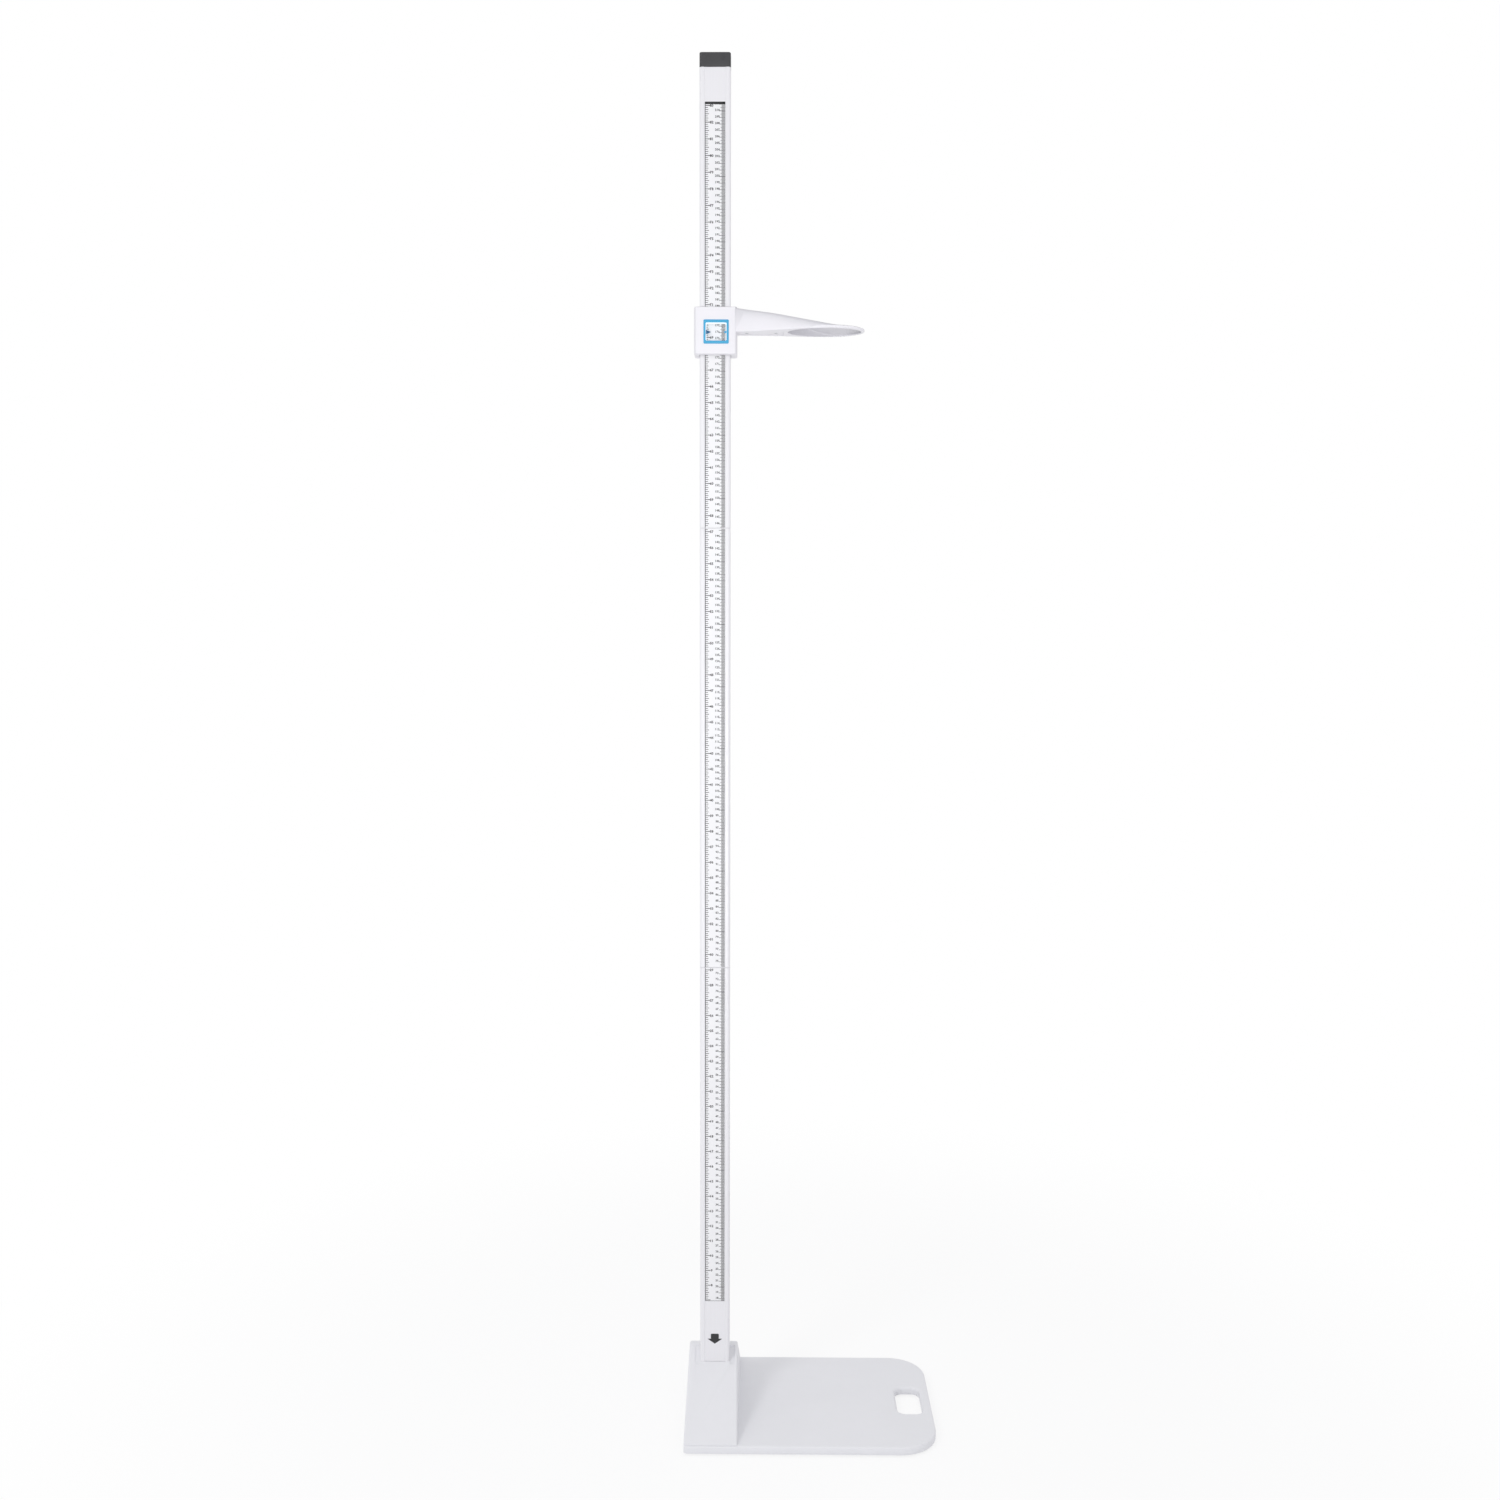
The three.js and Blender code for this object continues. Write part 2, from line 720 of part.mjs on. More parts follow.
function housingBlock(inset) {
  const outline = roundedRectangle(
    housingWidth - 2 * inset, housingDepth - 2 * inset, Math.max(housingCornerRadius - inset, inset / 2));
  const edge = inset > 0 ? 0 : housingEdgeRadius;
  const block = extruded(outline, -housingBelow + inset, housingAbove - inset, edge);
  return block.translate(housingOffset, housingMiddleY, 0);
}

function columnWay() {
  return extruded(columnOutline(housingColumnFit), -housingBelow - overrun, housingAbove + overrun);
}

function housingHalf(side) {
  const reach = housingDepth;
  const front = side < 0 ? -reach : fit / 2;
  const rear = side < 0 ? -fit / 2 : reach;
  return box(-housingWidth, housingWidth, front, rear, -2 * housingBelow, 2 * housingAbove);
}

function housingBosses(side) {
  const front = side < 0 ? housingFrontY + housingWall / 2 : fit / 2;
  const rear = side < 0 ? -fit / 2 : housingInnerRearY + housingWall / 2;
  const z = housingBossHeight / 2;
  return bossPlaces.map(([x, rise]) => {
    const sign = Math.sign(x - housingOffset);
    const outer = housingOffset + sign * (wallReach + housingWall / 2);
    const inner = housingOffset + sign * bossInner;
    return box(Math.min(outer, inner), Math.max(outer, inner), front, rear, rise - z, rise + z);
  });
}

function armPlan() {
  const front = -armNeckFront;
  const rear = armNeckRear;
  const widest = paddleWidestReach;
  const near = -paddleFront;
  const far = paddleRear;
  const tip = armTipReach;
  const middle = (near + far) / 2;
  const swell = widest - armNeckStraight;
  const swellStart = armNeckStraight + neckSwellShares.start * swell;
  const swellEnd = armNeckStraight + neckSwellShares.end * swell;
  const noseSide = widest + noseShares.side * (tip - widest);
  const shape = new THREE.Shape();
  shape.moveTo(armRoot, front);
  shape.lineTo(armNeckStraight, front);
  shape.bezierCurveTo(
    swellStart, front + neckSwellShares.lean * (near - front),
    swellEnd, near,
    widest, near);
  shape.bezierCurveTo(noseSide, near, tip, middle + noseShares.tip * (near - middle), tip, middle);
  shape.bezierCurveTo(tip, middle + noseShares.tip * (far - middle), noseSide, far, widest, far);
  shape.bezierCurveTo(swellEnd, far, swellStart, rear, armNeckStraight, rear);
  shape.lineTo(armRoot, rear);
  return shape;
}

// Everything below the arm's top, lowered by drop: a slope from the housing to the tip that falls
// away to a thin rim on both long sides.
function belowArmTop(drop) {
  const reach = 2 * armTipReach;
  const ridge = new THREE.Shape();
  ridge.moveTo(0, -overrun);
  ridge.lineTo(armTipReach + overrun, -overrun);
  ridge.lineTo(armTipReach + overrun, armTipHeight - drop);
  ridge.lineTo(armTipReach, armTipHeight - drop);
  ridge.lineTo(armRoot, armRootHeight - drop);
  ridge.lineTo(0, armRootHeight - drop);
  const slope = solid(alongY(ridge, -reach, reach));
  const front = sidePlane(-armNeckFront, -paddleFront, drop);
  const rear = sidePlane(armNeckRear, paddleRear, drop);
  const rim = box(0, reach, -reach, reach, -overrun, armTipHeight - drop);
  return joined(slope.trimByPlane(...front).trimByPlane(...rear), rim);
}

// The plane from the neck's side edge to the paddle's rim and crown, as trimByPlane takes it.
function sidePlane(neckY, paddleY, drop) {
  const neck = new THREE.Vector3(armNeckStraight, neckY, armRootHeight - drop);
  const rim = new THREE.Vector3(paddleWidestReach, paddleY, armTipHeight - drop);
  const crown = new THREE.Vector3(paddleWidestReach, -armCrownForward, armCrownHeight - drop);
  const plane = new THREE.Plane().setFromCoplanarPoints(neck, rim, crown);
  if (plane.normal.z > 0) {
    plane.negate();
  }
  return [plane.normal.toArray(), -plane.constant];
}

function armBody() {
  const plan = extruded(armPlan(), 0, housingAbove, 0, curveSteps);
  const rearOfHousing = box(
    0, housingOffset + housingWidth / 2 + fit, -fit / 2, housingDepth, -2 * housingBelow, 2 * housingAbove);
  return cut(common(plan, belowArmTop(0)), rearOfHousing);
}

function hollowOutline() {
  const shape = new THREE.Shape();
  shape.absellipse(
    hollowMiddleReach, -hollowMiddleForward, hollowHalfLength, hollowHalfWidth, 0, 2 * Math.PI);
  return shape;
}

function neckOutline(growth) {
  const length = neckCoverEnd - neckCoverStart + 2 * growth;
  return roundedRectangle(length, neckCoverWidth + 2 * growth, neckCoverCornerRadius + growth);
}

const neckMiddleX = (neckCoverStart + neckCoverEnd) / 2;
const neckMiddleY = (armNeckRear - armNeckFront) / 2;
const neckScrewXs = [neckCoverStart + neckScrewInset, neckCoverEnd - neckScrewInset];
const neckCoverTop = neckCoverRecess + neckCoverThickness;

function armHollows() {
  const paddle = extruded(hollowOutline(), -overrun, housingAbove, 0, curveSteps);
  const neck = extruded(neckOutline(fit), -overrun, housingAbove).translate(neckMiddleX, neckMiddleY, 0);
  const bosses = neckScrewXs.map((x) =>
    cylinderZ(neckBossRadius, x, neckMiddleY, neckCoverTop, housingAbove));
  return common(joined(paddle, cut(neck, ...bosses)), belowArmTop(armWall));
}

function windowHole() {
  const hole = roundedRectangle(windowBodyWidth + 2 * fit, windowBodyHeight + 2 * fit, windowCornerRadius);
  return alongY(hole, housingFrontY - overrun, housingFrontY + housingWall + fit).translate(windowOffset, 0, 0);
}

function buildFrontShell() {
  const outer = common(housingBlock(0), housingHalf(-1));
  const bosses = housingBosses(-1);
  const cavity = cut(housingBlock(housingWall), ...bosses);
  const pilots = bossPlaces.map(([x, z]) =>
    cylinderY(housingScrewRadius + fit, x, z, housingFrontY + housingWall, housingDepth));
  const neckPilots = neckScrewXs.map((x) =>
    cylinderZ(smallScrewRadius + fit, x, neckMiddleY, -overrun, neckCoverTop + smallScrewLength));
  const housing = cut(outer, cavity, columnWay());
  return cut(joined(housing, armBody()), armHollows(), windowHole(), ...pilots, ...neckPilots);
}

function buildRearCover() {
  const outer = common(housingBlock(0), housingHalf(1));
  const cavity = cut(housingBlock(housingWall), ...housingBosses(1));
  const holes = bossPlaces.flatMap(([x, z]) => [
    cylinderY(housingScrewRadius + fit, x, z, 0, housingDepth),
    cylinderY(housingScrewHeadRadius + fit, x, z, housingRearY - housingScrewHeadHeight - fit, housingDepth),
  ]);
  return cut(outer, cavity, columnWay(), ...holes);
}

function buildNeckCover() {
  const plate = extruded(neckOutline(0), neckCoverRecess, neckCoverTop);
  plate.translate(neckMiddleX, neckMiddleY, 0);
  const headRoom = neckCoverRecess + smallScrewHeadHeight;
  const holes = neckScrewXs.flatMap((x) => [
    cylinderZ(smallScrewRadius + fit, x, neckMiddleY, -overrun, overrun),
    cylinderZ(smallScrewHeadRadius + fit, x, neckMiddleY, -overrun, headRoom),
  ]);
  return cut(plate, ...holes);
}

function pointer(side, length, height, wallX, front) {
  const shape = polygon([
    [wallX + side * length, 0],
    [wallX - side * fit, height / 2],
    [wallX - side * fit, -height / 2],
  ]);
  return alongY(shape, front, front + pointerThickness);
}

const windowFront = housingFrontY - windowProud;
const windowBack = windowFront + windowBodyDepth;
const lensFront = windowFront + lensRecess;

function buildWindowFrame() {
  const flange = alongY(
    roundedRectangle(windowWidth, windowHeight, windowCornerRadius), windowFront, housingFrontY);
  const body = alongY(
    roundedRectangle(windowBodyWidth, windowBodyHeight, windowCornerRadius), windowFront, windowBack);
  const opening = alongY(
    roundedRectangle(windowOpeningWidth, windowOpeningHeight, windowCornerRadius), windowFront - overrun,
    windowBack + overrun);
  const pointerFront = windowBack - pointerThickness;
  const half = windowOpeningWidth / 2;
  const frame = joined(
    cut(joined(flange, body), opening),
    pointer(1, pointerLength, pointerHeight, -half, pointerFront),
    pointer(-1, smallPointerLength, smallPointerHeight, half, pointerFront),
  );
  return frame.translate([windowOffset, 0, 0]);
}

function buildLens() {
  const shape = roundedRectangle(
    windowOpeningWidth - 2 * fit, windowOpeningHeight - 2 * fit, windowCornerRadius);
  return alongY(shape, lensFront, lensFront + lensThickness).translate(windowOffset, 0, 0);
}

function buildBush(low) {
  const front = housingFrontY + housingWall + fit;
  const rear = housingInnerRearY - fit;
  const ring = roundedRectangle(2 * (wallReach - fit), rear - front, columnCornerRadius);
  const outside = extruded(ring, low, low + bushHeight).translate(housingOffset, (front + rear) / 2, 0);
  return cut(outside, extruded(columnOutline(slideFit), low - overrun, low + bushHeight + overrun));
}

function buildBrakePad() {
  const front = columnDepth / 2 + slideFit;
  const shape = roundedRectangle(brakePadWidth, brakePadHeight, columnCornerRadius / 2);
  return alongY(shape, front, front + brakePadThickness);
}

function buildBrakeSpring() {
  const half = brakeSpringWidth / 2;
  const rest = housingInnerRearY - fit - brakeSpringThickness;
  const crown = rest - 2 * brakeSpringRise;
  const shape = new THREE.Shape();
  shape.moveTo(-half, rest);
  shape.quadraticCurveTo(0, crown, half, rest);
  shape.lineTo(half, rest + brakeSpringThickness);
  shape.quadraticCurveTo(0, crown + brakeSpringThickness, -half, rest + brakeSpringThickness);
  return extruded(shape, -brakeSpringHeight / 2, brakeSpringHeight / 2, 0, curveSteps);
}

// Assembly

function flushScrew(name, x, z) {
  const body = screwBody(smallScrewRadius, smallScrewHeadRadius, smallScrewHeadHeight, smallScrewLength);
  const mesh = piece(name, body.rotateX(-Math.PI / 2), zincSteel);
  mesh.position.set(x, columnDepth / 2 - fit / 2, z);
  return mesh;
}

function baseAssembly() {
  const group = new THREE.Group();
  group.add(piece('base_platform', buildPlatform(), whitePlastic));
  group.add(piece('underplate', buildUnderplate(), zincSteel));
  group.add(piece('column_holder', buildHolder(), whitePlastic));
  group.add(piece('column_socket', buildSocket(), zincSteel));
  footPlaces.forEach(([x, y], index) => {
    group.add(piece(`foot_${index + 1}`, buildFoot(x, y), rubber));
    const body = screwBody(screwRadius, screwHeadRadius, footScrewHeadHeight, footScrewLength);
    const screw = piece(`foot_screw_${index + 1}`, body.rotateX(Math.PI), zincSteel);
    screw.position.set(x, y, footRecessDepth - footScrewHeadHeight - fit);
    group.add(screw);
  });
  socketScrewPlaces.forEach(([x, y], index) => {
    const body = screwBody(screwRadius, screwHeadRadius, screwHeadHeight, screwLength);
    const screw = piece(`socket_screw_${index + 1}`, body, zincSteel);
    screw.position.set(x, y, socketFloor + screwHeadHeight);
    group.add(screw);
  });
  holderScrewPlaces.forEach(([x, y], index) => {
    const body = screwBody(screwRadius, screwHeadRadius, screwHeadHeight, screwLength);
    const screw = piece(`holder_screw_${index + 1}`, body.rotateX(Math.PI), zincSteel);
    screw.position.set(x, y, skinBottom - screwHeadHeight);
    group.add(screw);
  });
  return group;
}

function columnAssembly() {
  const group = new THREE.Group();
  const footScrewZ = lowerBottom + joinerScrewInset;
  const lowerScrewZ = lowerTop - joinerScrewInset;
  const upperScrewZ = middleTop - joinerScrewInset;
  group.add(piece('lower_section', buildSection(lowerBottom, [footScrewZ, lowerScrewZ]), columnPaint));
  group.add(piece('middle_section', buildSection(middleBottom, [upperScrewZ]), columnPaint));
  group.add(piece('upper_section', buildSection(upperBottom, []), columnPaint));
  group.add(piece('column_foot', buildColumnFoot(), blackPlastic));
  group.add(piece('lower_joiner', buildJoiner(lowerTop), innerPlastic));
  group.add(piece('upper_joiner', buildJoiner(middleTop), innerPlastic));
  group.add(piece('top_cap', buildCap(), blackPlastic));
  const stripLow = platformTop + scaleLow;
  const stripHigh = upperTop - scaleBelowColumnTop;
  group.add(piece('lower_scale_strip', buildStrip(stripLow, lowerTop - stripEndGap), scaleFilm));
  const middleStrip = buildStrip(middleBottom + stripEndGap, middleTop - stripEndGap);
  group.add(piece('middle_scale_strip', middleStrip, scaleFilm));
  group.add(piece('upper_scale_strip', buildStrip(upperBottom + stripEndGap, stripHigh), scaleFilm));
  group.add(piece('arrow_label', buildArrow(), blackInk));
  const pairs = { column_foot: footScrewZ, lower_joiner: lowerScrewZ, upper_joiner: upperScrewZ };
  for (const [name, height] of Object.entries(pairs)) {
    screwPair(height).forEach(([x, z], index) => {
      group.add(flushScrew(`${name}_screw_${index + 1}`, x, z));
    });
  }
  return group;
}

function headpieceAssembly() {
  const group = new THREE.Group();
  group.add(piece('headpiece_front_shell', buildFrontShell(), housingPlastic));
  group.add(piece('headpiece_rear_cover', buildRearCover(), housingPlastic));
  group.add(piece('neck_cover', buildNeckCover(), housingPlastic));
  group.add(piece('window_frame', buildWindowFrame(), bluePlastic));
  group.add(piece('window_lens', buildLens(), clearPlastic));
  const upperBushLow = housingAbove - housingWall - bushInset - bushHeight;
  const lowerBushLow = -housingBelow + housingWall + bushInset;
  group.add(piece('upper_slide_bush', buildBush(upperBushLow), slidePlastic));
  group.add(piece('lower_slide_bush', buildBush(lowerBushLow), slidePlastic));
  group.add(piece('brake_pad', buildBrakePad(), feltPad));
  group.add(piece('brake_spring', buildBrakeSpring(), springSteel));
  bossPlaces.forEach(([x, z], index) => {
    const body = screwBody(
      housingScrewRadius, housingScrewHeadRadius, housingScrewHeadHeight, housingScrewLength);
    const screw = piece(`housing_screw_${index + 1}`, body.rotateX(-Math.PI / 2), zincSteel);
    screw.position.set(x, housingRearY - fit / 2, z);
    group.add(screw);
  });
  neckScrewXs.forEach((x, index) => {
    const body = screwBody(smallScrewRadius, smallScrewHeadRadius, smallScrewHeadHeight, smallScrewLength);
    const screw = piece(`neck_cover_screw_${index + 1}`, body.rotateX(Math.PI), zincSteel);
    screw.position.set(x, neckMiddleY, neckCoverRecess - fit / 2);
    group.add(screw);
  });
  group.position.set(columnX, 0, readingZ);
  return group;
}

const stadiometer = new THREE.Group();
stadiometer.add(baseAssembly());
stadiometer.add(columnAssembly());
stadiometer.add(headpieceAssembly());

export default stadiometer;
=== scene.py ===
# %% [markdown]
# # A portable stadiometer
# A stadiometer measures how tall a person is. This one is a flat platform, a holder across its heel
# end, a column of three plug-together tubes with a printed scale, and a headpiece that slides down
# until its arm rests on the head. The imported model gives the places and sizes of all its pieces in
# metres, and this script dresses them: it replaces the coarse solids by smooth ones and gives every
# surface a finish.

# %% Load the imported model
import math

import bmesh
import bpy
from mathutils import Matrix, Vector
from mathutils.geometry import interpolate_bezier


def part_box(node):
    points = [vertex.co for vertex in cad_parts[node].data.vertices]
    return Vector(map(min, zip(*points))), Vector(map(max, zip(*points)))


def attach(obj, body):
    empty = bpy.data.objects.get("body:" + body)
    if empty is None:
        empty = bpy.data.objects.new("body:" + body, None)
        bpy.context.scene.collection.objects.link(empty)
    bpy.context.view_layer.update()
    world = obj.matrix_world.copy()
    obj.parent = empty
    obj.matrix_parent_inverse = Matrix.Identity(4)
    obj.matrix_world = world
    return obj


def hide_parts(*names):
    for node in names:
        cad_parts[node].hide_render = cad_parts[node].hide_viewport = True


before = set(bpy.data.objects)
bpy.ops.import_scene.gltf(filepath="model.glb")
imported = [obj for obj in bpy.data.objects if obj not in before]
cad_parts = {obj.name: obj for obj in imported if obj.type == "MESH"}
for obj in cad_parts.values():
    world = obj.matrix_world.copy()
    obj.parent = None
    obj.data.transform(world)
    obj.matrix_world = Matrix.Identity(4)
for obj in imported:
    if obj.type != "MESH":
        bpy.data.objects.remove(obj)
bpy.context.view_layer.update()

# %% [markdown]
# ## Places that everything else is measured from
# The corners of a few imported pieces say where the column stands, how high the platform's top is,
# and how far the headpiece reaches. Reading them once keeps the dressed pieces in line with the
# packed ones. Two more sizes serve everywhere: the clearance between pieces that touch, and a hair,
# which is too small to see and tells places apart.

# %% Read the main places
plate_low, plate_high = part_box("base_platform")
holder_low, holder_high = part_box("column_holder")
lower_low, lower_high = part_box("lower_section")
upper_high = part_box("upper_section")[1]
cap_low, cap_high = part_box("top_cap")
shell_low, shell_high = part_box("headpiece_front_shell")
cover_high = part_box("headpiece_rear_cover")[1]
neck_low, neck_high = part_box("neck_cover")
column_x = (lower_low.x + lower_high.x) / 2
column_width = lower_high.x - lower_low.x
column_depth = lower_high.y - lower_low.y
plate_top = plate_high.z
clearance = 0.0003
hair = 0.0001
print("column stands at x", round(column_x, 4), "platform top at z", round(plate_top, 4))

# %% [markdown]
# ## The camera
# The picture was taken from in front, about 2.4 m away and 1.3 m above the floor, with the camera
# tilted down a little, so the headpiece is seen from slightly below and the platform from above.
# A lens of 35.8 mm on a 36 mm sensor spans the same angle.

# %% Set up the camera
scene = bpy.context.scene
camera_data = bpy.data.cameras.new("camera")
camera_data.sensor_width = 36
camera_data.lens = 35.76
camera_data.clip_start = 0.05
camera_data.clip_end = 200
camera = bpy.data.objects.new("camera", camera_data)
camera_place = Vector((-0.0765, -2.4138, 1.3094))
camera_down = math.radians(4.653)
camera_turn = math.radians(0.592)
camera_roll = math.radians(0.1215)
camera.matrix_world = (
    Matrix.Translation(camera_place)
    @ Matrix.Rotation(camera_turn, 4, "Z")
    @ Matrix.Rotation(math.pi / 2 - camera_down, 4, "X")
    @ Matrix.Rotation(camera_roll, 4, "Z")
)
scene.collection.objects.link(camera)
scene.camera = camera
print("camera at", [round(v, 3) for v in camera.matrix_world.translation])

# %% [markdown]
# ## Wiring shader nodes
# The world, the floor and every finish are small trees of nodes. A socket either holds a plain value
# or is wired to another node's output, so one helper does both, and a second one adds a node and
# wires it at once. Sockets are named as in the editor, with an underscore for a space.


# %% Helpers that add and wire nodes
def wire(tree, node, *values, **named):
    """Gives a node's sockets, in order or by name, plain values or other nodes' outputs."""
    for key, value in [*enumerate(values), *named.items()]:
        socket = node.inputs[key if isinstance(key, int) else key.replace("_", " ")]
        if isinstance(value, bpy.types.NodeSocket):
            tree.links.new(value, socket)
        else:
            socket.default_value = value
    return node


def add_node(tree, kind, *values, **named):
    return wire(tree, tree.nodes.new(kind), *values, **named)


def add_math(tree, operation, first, second):
    """A Math node's output; each operand is a number or another node's output."""
    node = add_node(tree, "ShaderNodeMath", first, second)
    node.operation = operation
    return node.outputs[0]


def seen_directly(tree, rays):
    """1 for rays from the camera, through glass or off a mirror, which see the plain background."""
    seen = add_math(tree, "MAXIMUM", rays["Is Camera Ray"], rays["Is Transmission Ray"])
    return add_math(tree, "MAXIMUM", seen, rays["Is Glossy Ray"])


# %% [markdown]
# ## Studio light
# White things show their shape only by small differences of grey. Most of the light here comes
# evenly from all round, which is the world. A lamp in front fills the upper faces that look at
# the camera, and as it hangs low it also reaches the arm's underside. The key lamp stands to the
# left in front and is aimed at the platform, because the holder's soft shadow falls to the right and
# back over it at about 37 degrees. Both have a narrow beam, so each can be set for its own part.
# Behind the object the camera sees plain white, also in a mirror and through the window.

# %% Light the studio
scene.view_settings.view_transform = "Standard"
world = bpy.data.worlds.new("studio")
scene.world = world
world.use_nodes = True
sky = world.node_tree
room = wire(sky, sky.nodes["Background"], Color=(0.98, 0.98, 1.0, 1), Strength=0.774)
backdrop = add_node(sky, "ShaderNodeBackground", Color=(1, 1, 1, 1), Strength=1.0)
sky_rays = add_node(sky, "ShaderNodeLightPath").outputs
chosen = add_node(
    sky, "ShaderNodeMixShader", seen_directly(sky, sky_rays), room.outputs[0], backdrop.outputs[0])
wire(sky, sky.nodes["World Output"], Surface=chosen.outputs[0])


def add_lamp(name, target, towards, distance, size, level, beam):
    """An area lamp whose beam (full angle in degrees) gives the target a light of the named level."""
    half_beam = math.radians(beam) / 2
    data = bpy.data.lights.new(name, "AREA")
    data.shape = "DISK"
    data.size = size
    data.spread = 2 * half_beam
    data.energy = level * (math.pi * distance) ** 2 * (1 - half_beam / math.tan(half_beam))
    lamp = bpy.data.objects.new(name, data)
    back = Vector(towards).normalized()
    lamp.location = Vector(target) + back * distance
    lamp.rotation_euler = back.to_track_quat("Z", "Y").to_euler()
    scene.collection.objects.link(lamp)
    return lamp


key_lamp = add_lamp(
    "key_lamp", target=(column_x, 0, 0.1), towards=(-0.78, -1.05, 1.0),
    distance=6, size=1.8, level=0.22, beam=48)
front_lamp = add_lamp(
    "front_lamp", target=(column_x, 0, 1.75), towards=(0.05, -1.0, -0.33),
    distance=4, size=1.2, level=0.35, beam=56)
print("lamps:", key_lamp.name, front_lamp.name)

# %% [markdown]
# ## The floor
# The picture's background is plain white. The floor is pale and matte, and what the camera sees of
# it is mostly an even white glow of strength 1, mixed with a share of its real shading. That keeps
# a faint shadow under the platform without any more light on the object.

# %% Lay the floor
floor_radius = 60
shadow_reach = 0.5
white_reach = 1.6
glow_share = 0.78
floor_bm = bmesh.new()
bmesh.ops.create_circle(floor_bm, cap_ends=True, segments=64, radius=floor_radius)
floor_mesh = bpy.data.meshes.new("floor")
floor_bm.to_mesh(floor_mesh)
floor_bm.free()
floor = bpy.data.objects.new("floor", floor_mesh)
scene.collection.objects.link(floor)

floor_finish = bpy.data.materials.new("pale_floor")
floor_finish.use_nodes = True
ground = floor_finish.node_tree
ground_rays = add_node(ground, "ShaderNodeLightPath").outputs
shade = ground.nodes.new("ShaderNodeMix")
shade.data_type = "RGBA"
wire(ground, shade, Factor=ground_rays["Is Camera Ray"], A=(0.89, 0.89, 0.9, 1), B=(1, 1, 1, 1))
matte = wire(
    ground, ground.nodes["Principled BSDF"],
    Base_Color=shade.outputs["Result"], Roughness=0.9, Specular_IOR_Level=0.1)
glow = add_node(ground, "ShaderNodeEmission", Color=(1, 1, 1, 1), Strength=1.0)
ground_place = add_node(ground, "ShaderNodeTexCoord").outputs["Object"]
apart = add_node(ground, "ShaderNodeVectorMath", ground_place)
apart.operation = "LENGTH"
fade = ground.nodes.new("ShaderNodeMapRange")
fade.interpolation_type = "SMOOTHSTEP"
wire(
    ground, fade, Value=apart.outputs["Value"],
    From_Min=shadow_reach, From_Max=white_reach, To_Min=glow_share, To_Max=1.0)
white_share = add_math(ground, "MULTIPLY", fade.outputs["Result"], seen_directly(ground, ground_rays))
floor_mix = add_node(ground, "ShaderNodeMixShader", white_share, matte.outputs[0], glow.outputs[0])
wire(ground, ground.nodes["Material Output"], Surface=floor_mix.outputs[0])
floor_mesh.materials.append(floor_finish)
print("floor reaches", floor_radius, "m")

# %% [markdown]
# ## Shared surface patterns
# Moulded and coated surfaces are never quite even. Three small node groups are used again and
# again: a fine grain that a bump reads, soft handling marks that change the gloss, and drawing
# lines that run along one axis. Each has named inputs, so a finish sets its own scale and strength.
# All of them read Object coordinates, because a piece's object sits at the origin and the pattern
# then stays on the piece.


# %% A grain that a bump reads
def new_group(name, inputs, outputs):
    """A node group with float sockets: its tree, its inputs, its output node and its coordinates."""
    group = bpy.data.node_groups.new(name, "ShaderNodeTree")
    for label, value in inputs.items():
        socket = group.interface.new_socket(name=label, in_out="INPUT", socket_type="NodeSocketFloat")
        socket.default_value = value
    for label in outputs:
        group.interface.new_socket(name=label, in_out="OUTPUT", socket_type="NodeSocketFloat")
    given = group.nodes.new("NodeGroupInput").outputs
    place = add_node(group, "ShaderNodeTexCoord").outputs["Object"]
    return group, given, group.nodes.new("NodeGroupOutput"), place


grain, given, result, place = new_group(
    "moulded_grain", {"Fine Scale": 1800, "Broad Scale": 90, "Broad Share": 0.3}, ["Height"])
fine = add_node(grain, "ShaderNodeTexNoise", Vector=place, Scale=given["Fine Scale"], Detail=3)
broad = add_node(grain, "ShaderNodeTexNoise", Vector=place, Scale=given["Broad Scale"], Detail=2)
broad_part = add_math(grain, "MULTIPLY", broad.outputs["Fac"], given["Broad Share"])
wire(grain, result, Height=add_math(grain, "ADD", fine.outputs["Fac"], broad_part))
print("grain group inputs:", [s.name for s in grain.interface.items_tree if s.in_out == "INPUT"])

# %% Handling marks that change gloss and shade
marks, given, result, place = new_group(
    "handling_marks", {"Patch Scale": 14, "Scuff Scale": 60, "Scuff Amount": 0.35}, ["Patches", "Scuffs"])
patches = add_node(
    marks, "ShaderNodeTexNoise", Vector=place, Scale=given["Patch Scale"], Detail=4, Roughness=0.6)
scuff_turn = add_node(
    marks, "ShaderNodeMapping", Vector=place, Rotation=(0.4, 0.7, 0.9), Scale=(1, 9, 1))
scuffs = add_node(
    marks, "ShaderNodeTexNoise",
    Vector=scuff_turn.outputs["Vector"], Scale=given["Scuff Scale"], Detail=5)
scuff_ramp = add_node(
    marks, "ShaderNodeMapRange", Value=scuffs.outputs["Fac"], From_Min=0.58, From_Max=0.72)
scuff_part = add_math(marks, "MULTIPLY", scuff_ramp.outputs["Result"], given["Scuff Amount"])
wire(marks, result, Patches=patches.outputs["Fac"], Scuffs=scuff_part)
print("marks group outputs:", [s.name for s in marks.interface.items_tree if s.in_out == "OUTPUT"])

# %% Drawing lines along one axis
lines, given, result, place = new_group(
    "drawing_lines", {"Across X": 1400, "Across Y": 1400, "Along Z": 3}, ["Lines"])
stretch = add_node(
    lines, "ShaderNodeCombineXYZ", X=given["Across X"], Y=given["Across Y"], Z=given["Along Z"])
stretched = add_node(lines, "ShaderNodeVectorMath", place, stretch.outputs[0])
stretched.operation = "MULTIPLY"
drawn = add_node(lines, "ShaderNodeTexNoise", Vector=stretched.outputs[0], Scale=1, Detail=3)
wire(lines, result, Lines=drawn.outputs["Fac"])
print("groups:", [g.name for g in bpy.data.node_groups])

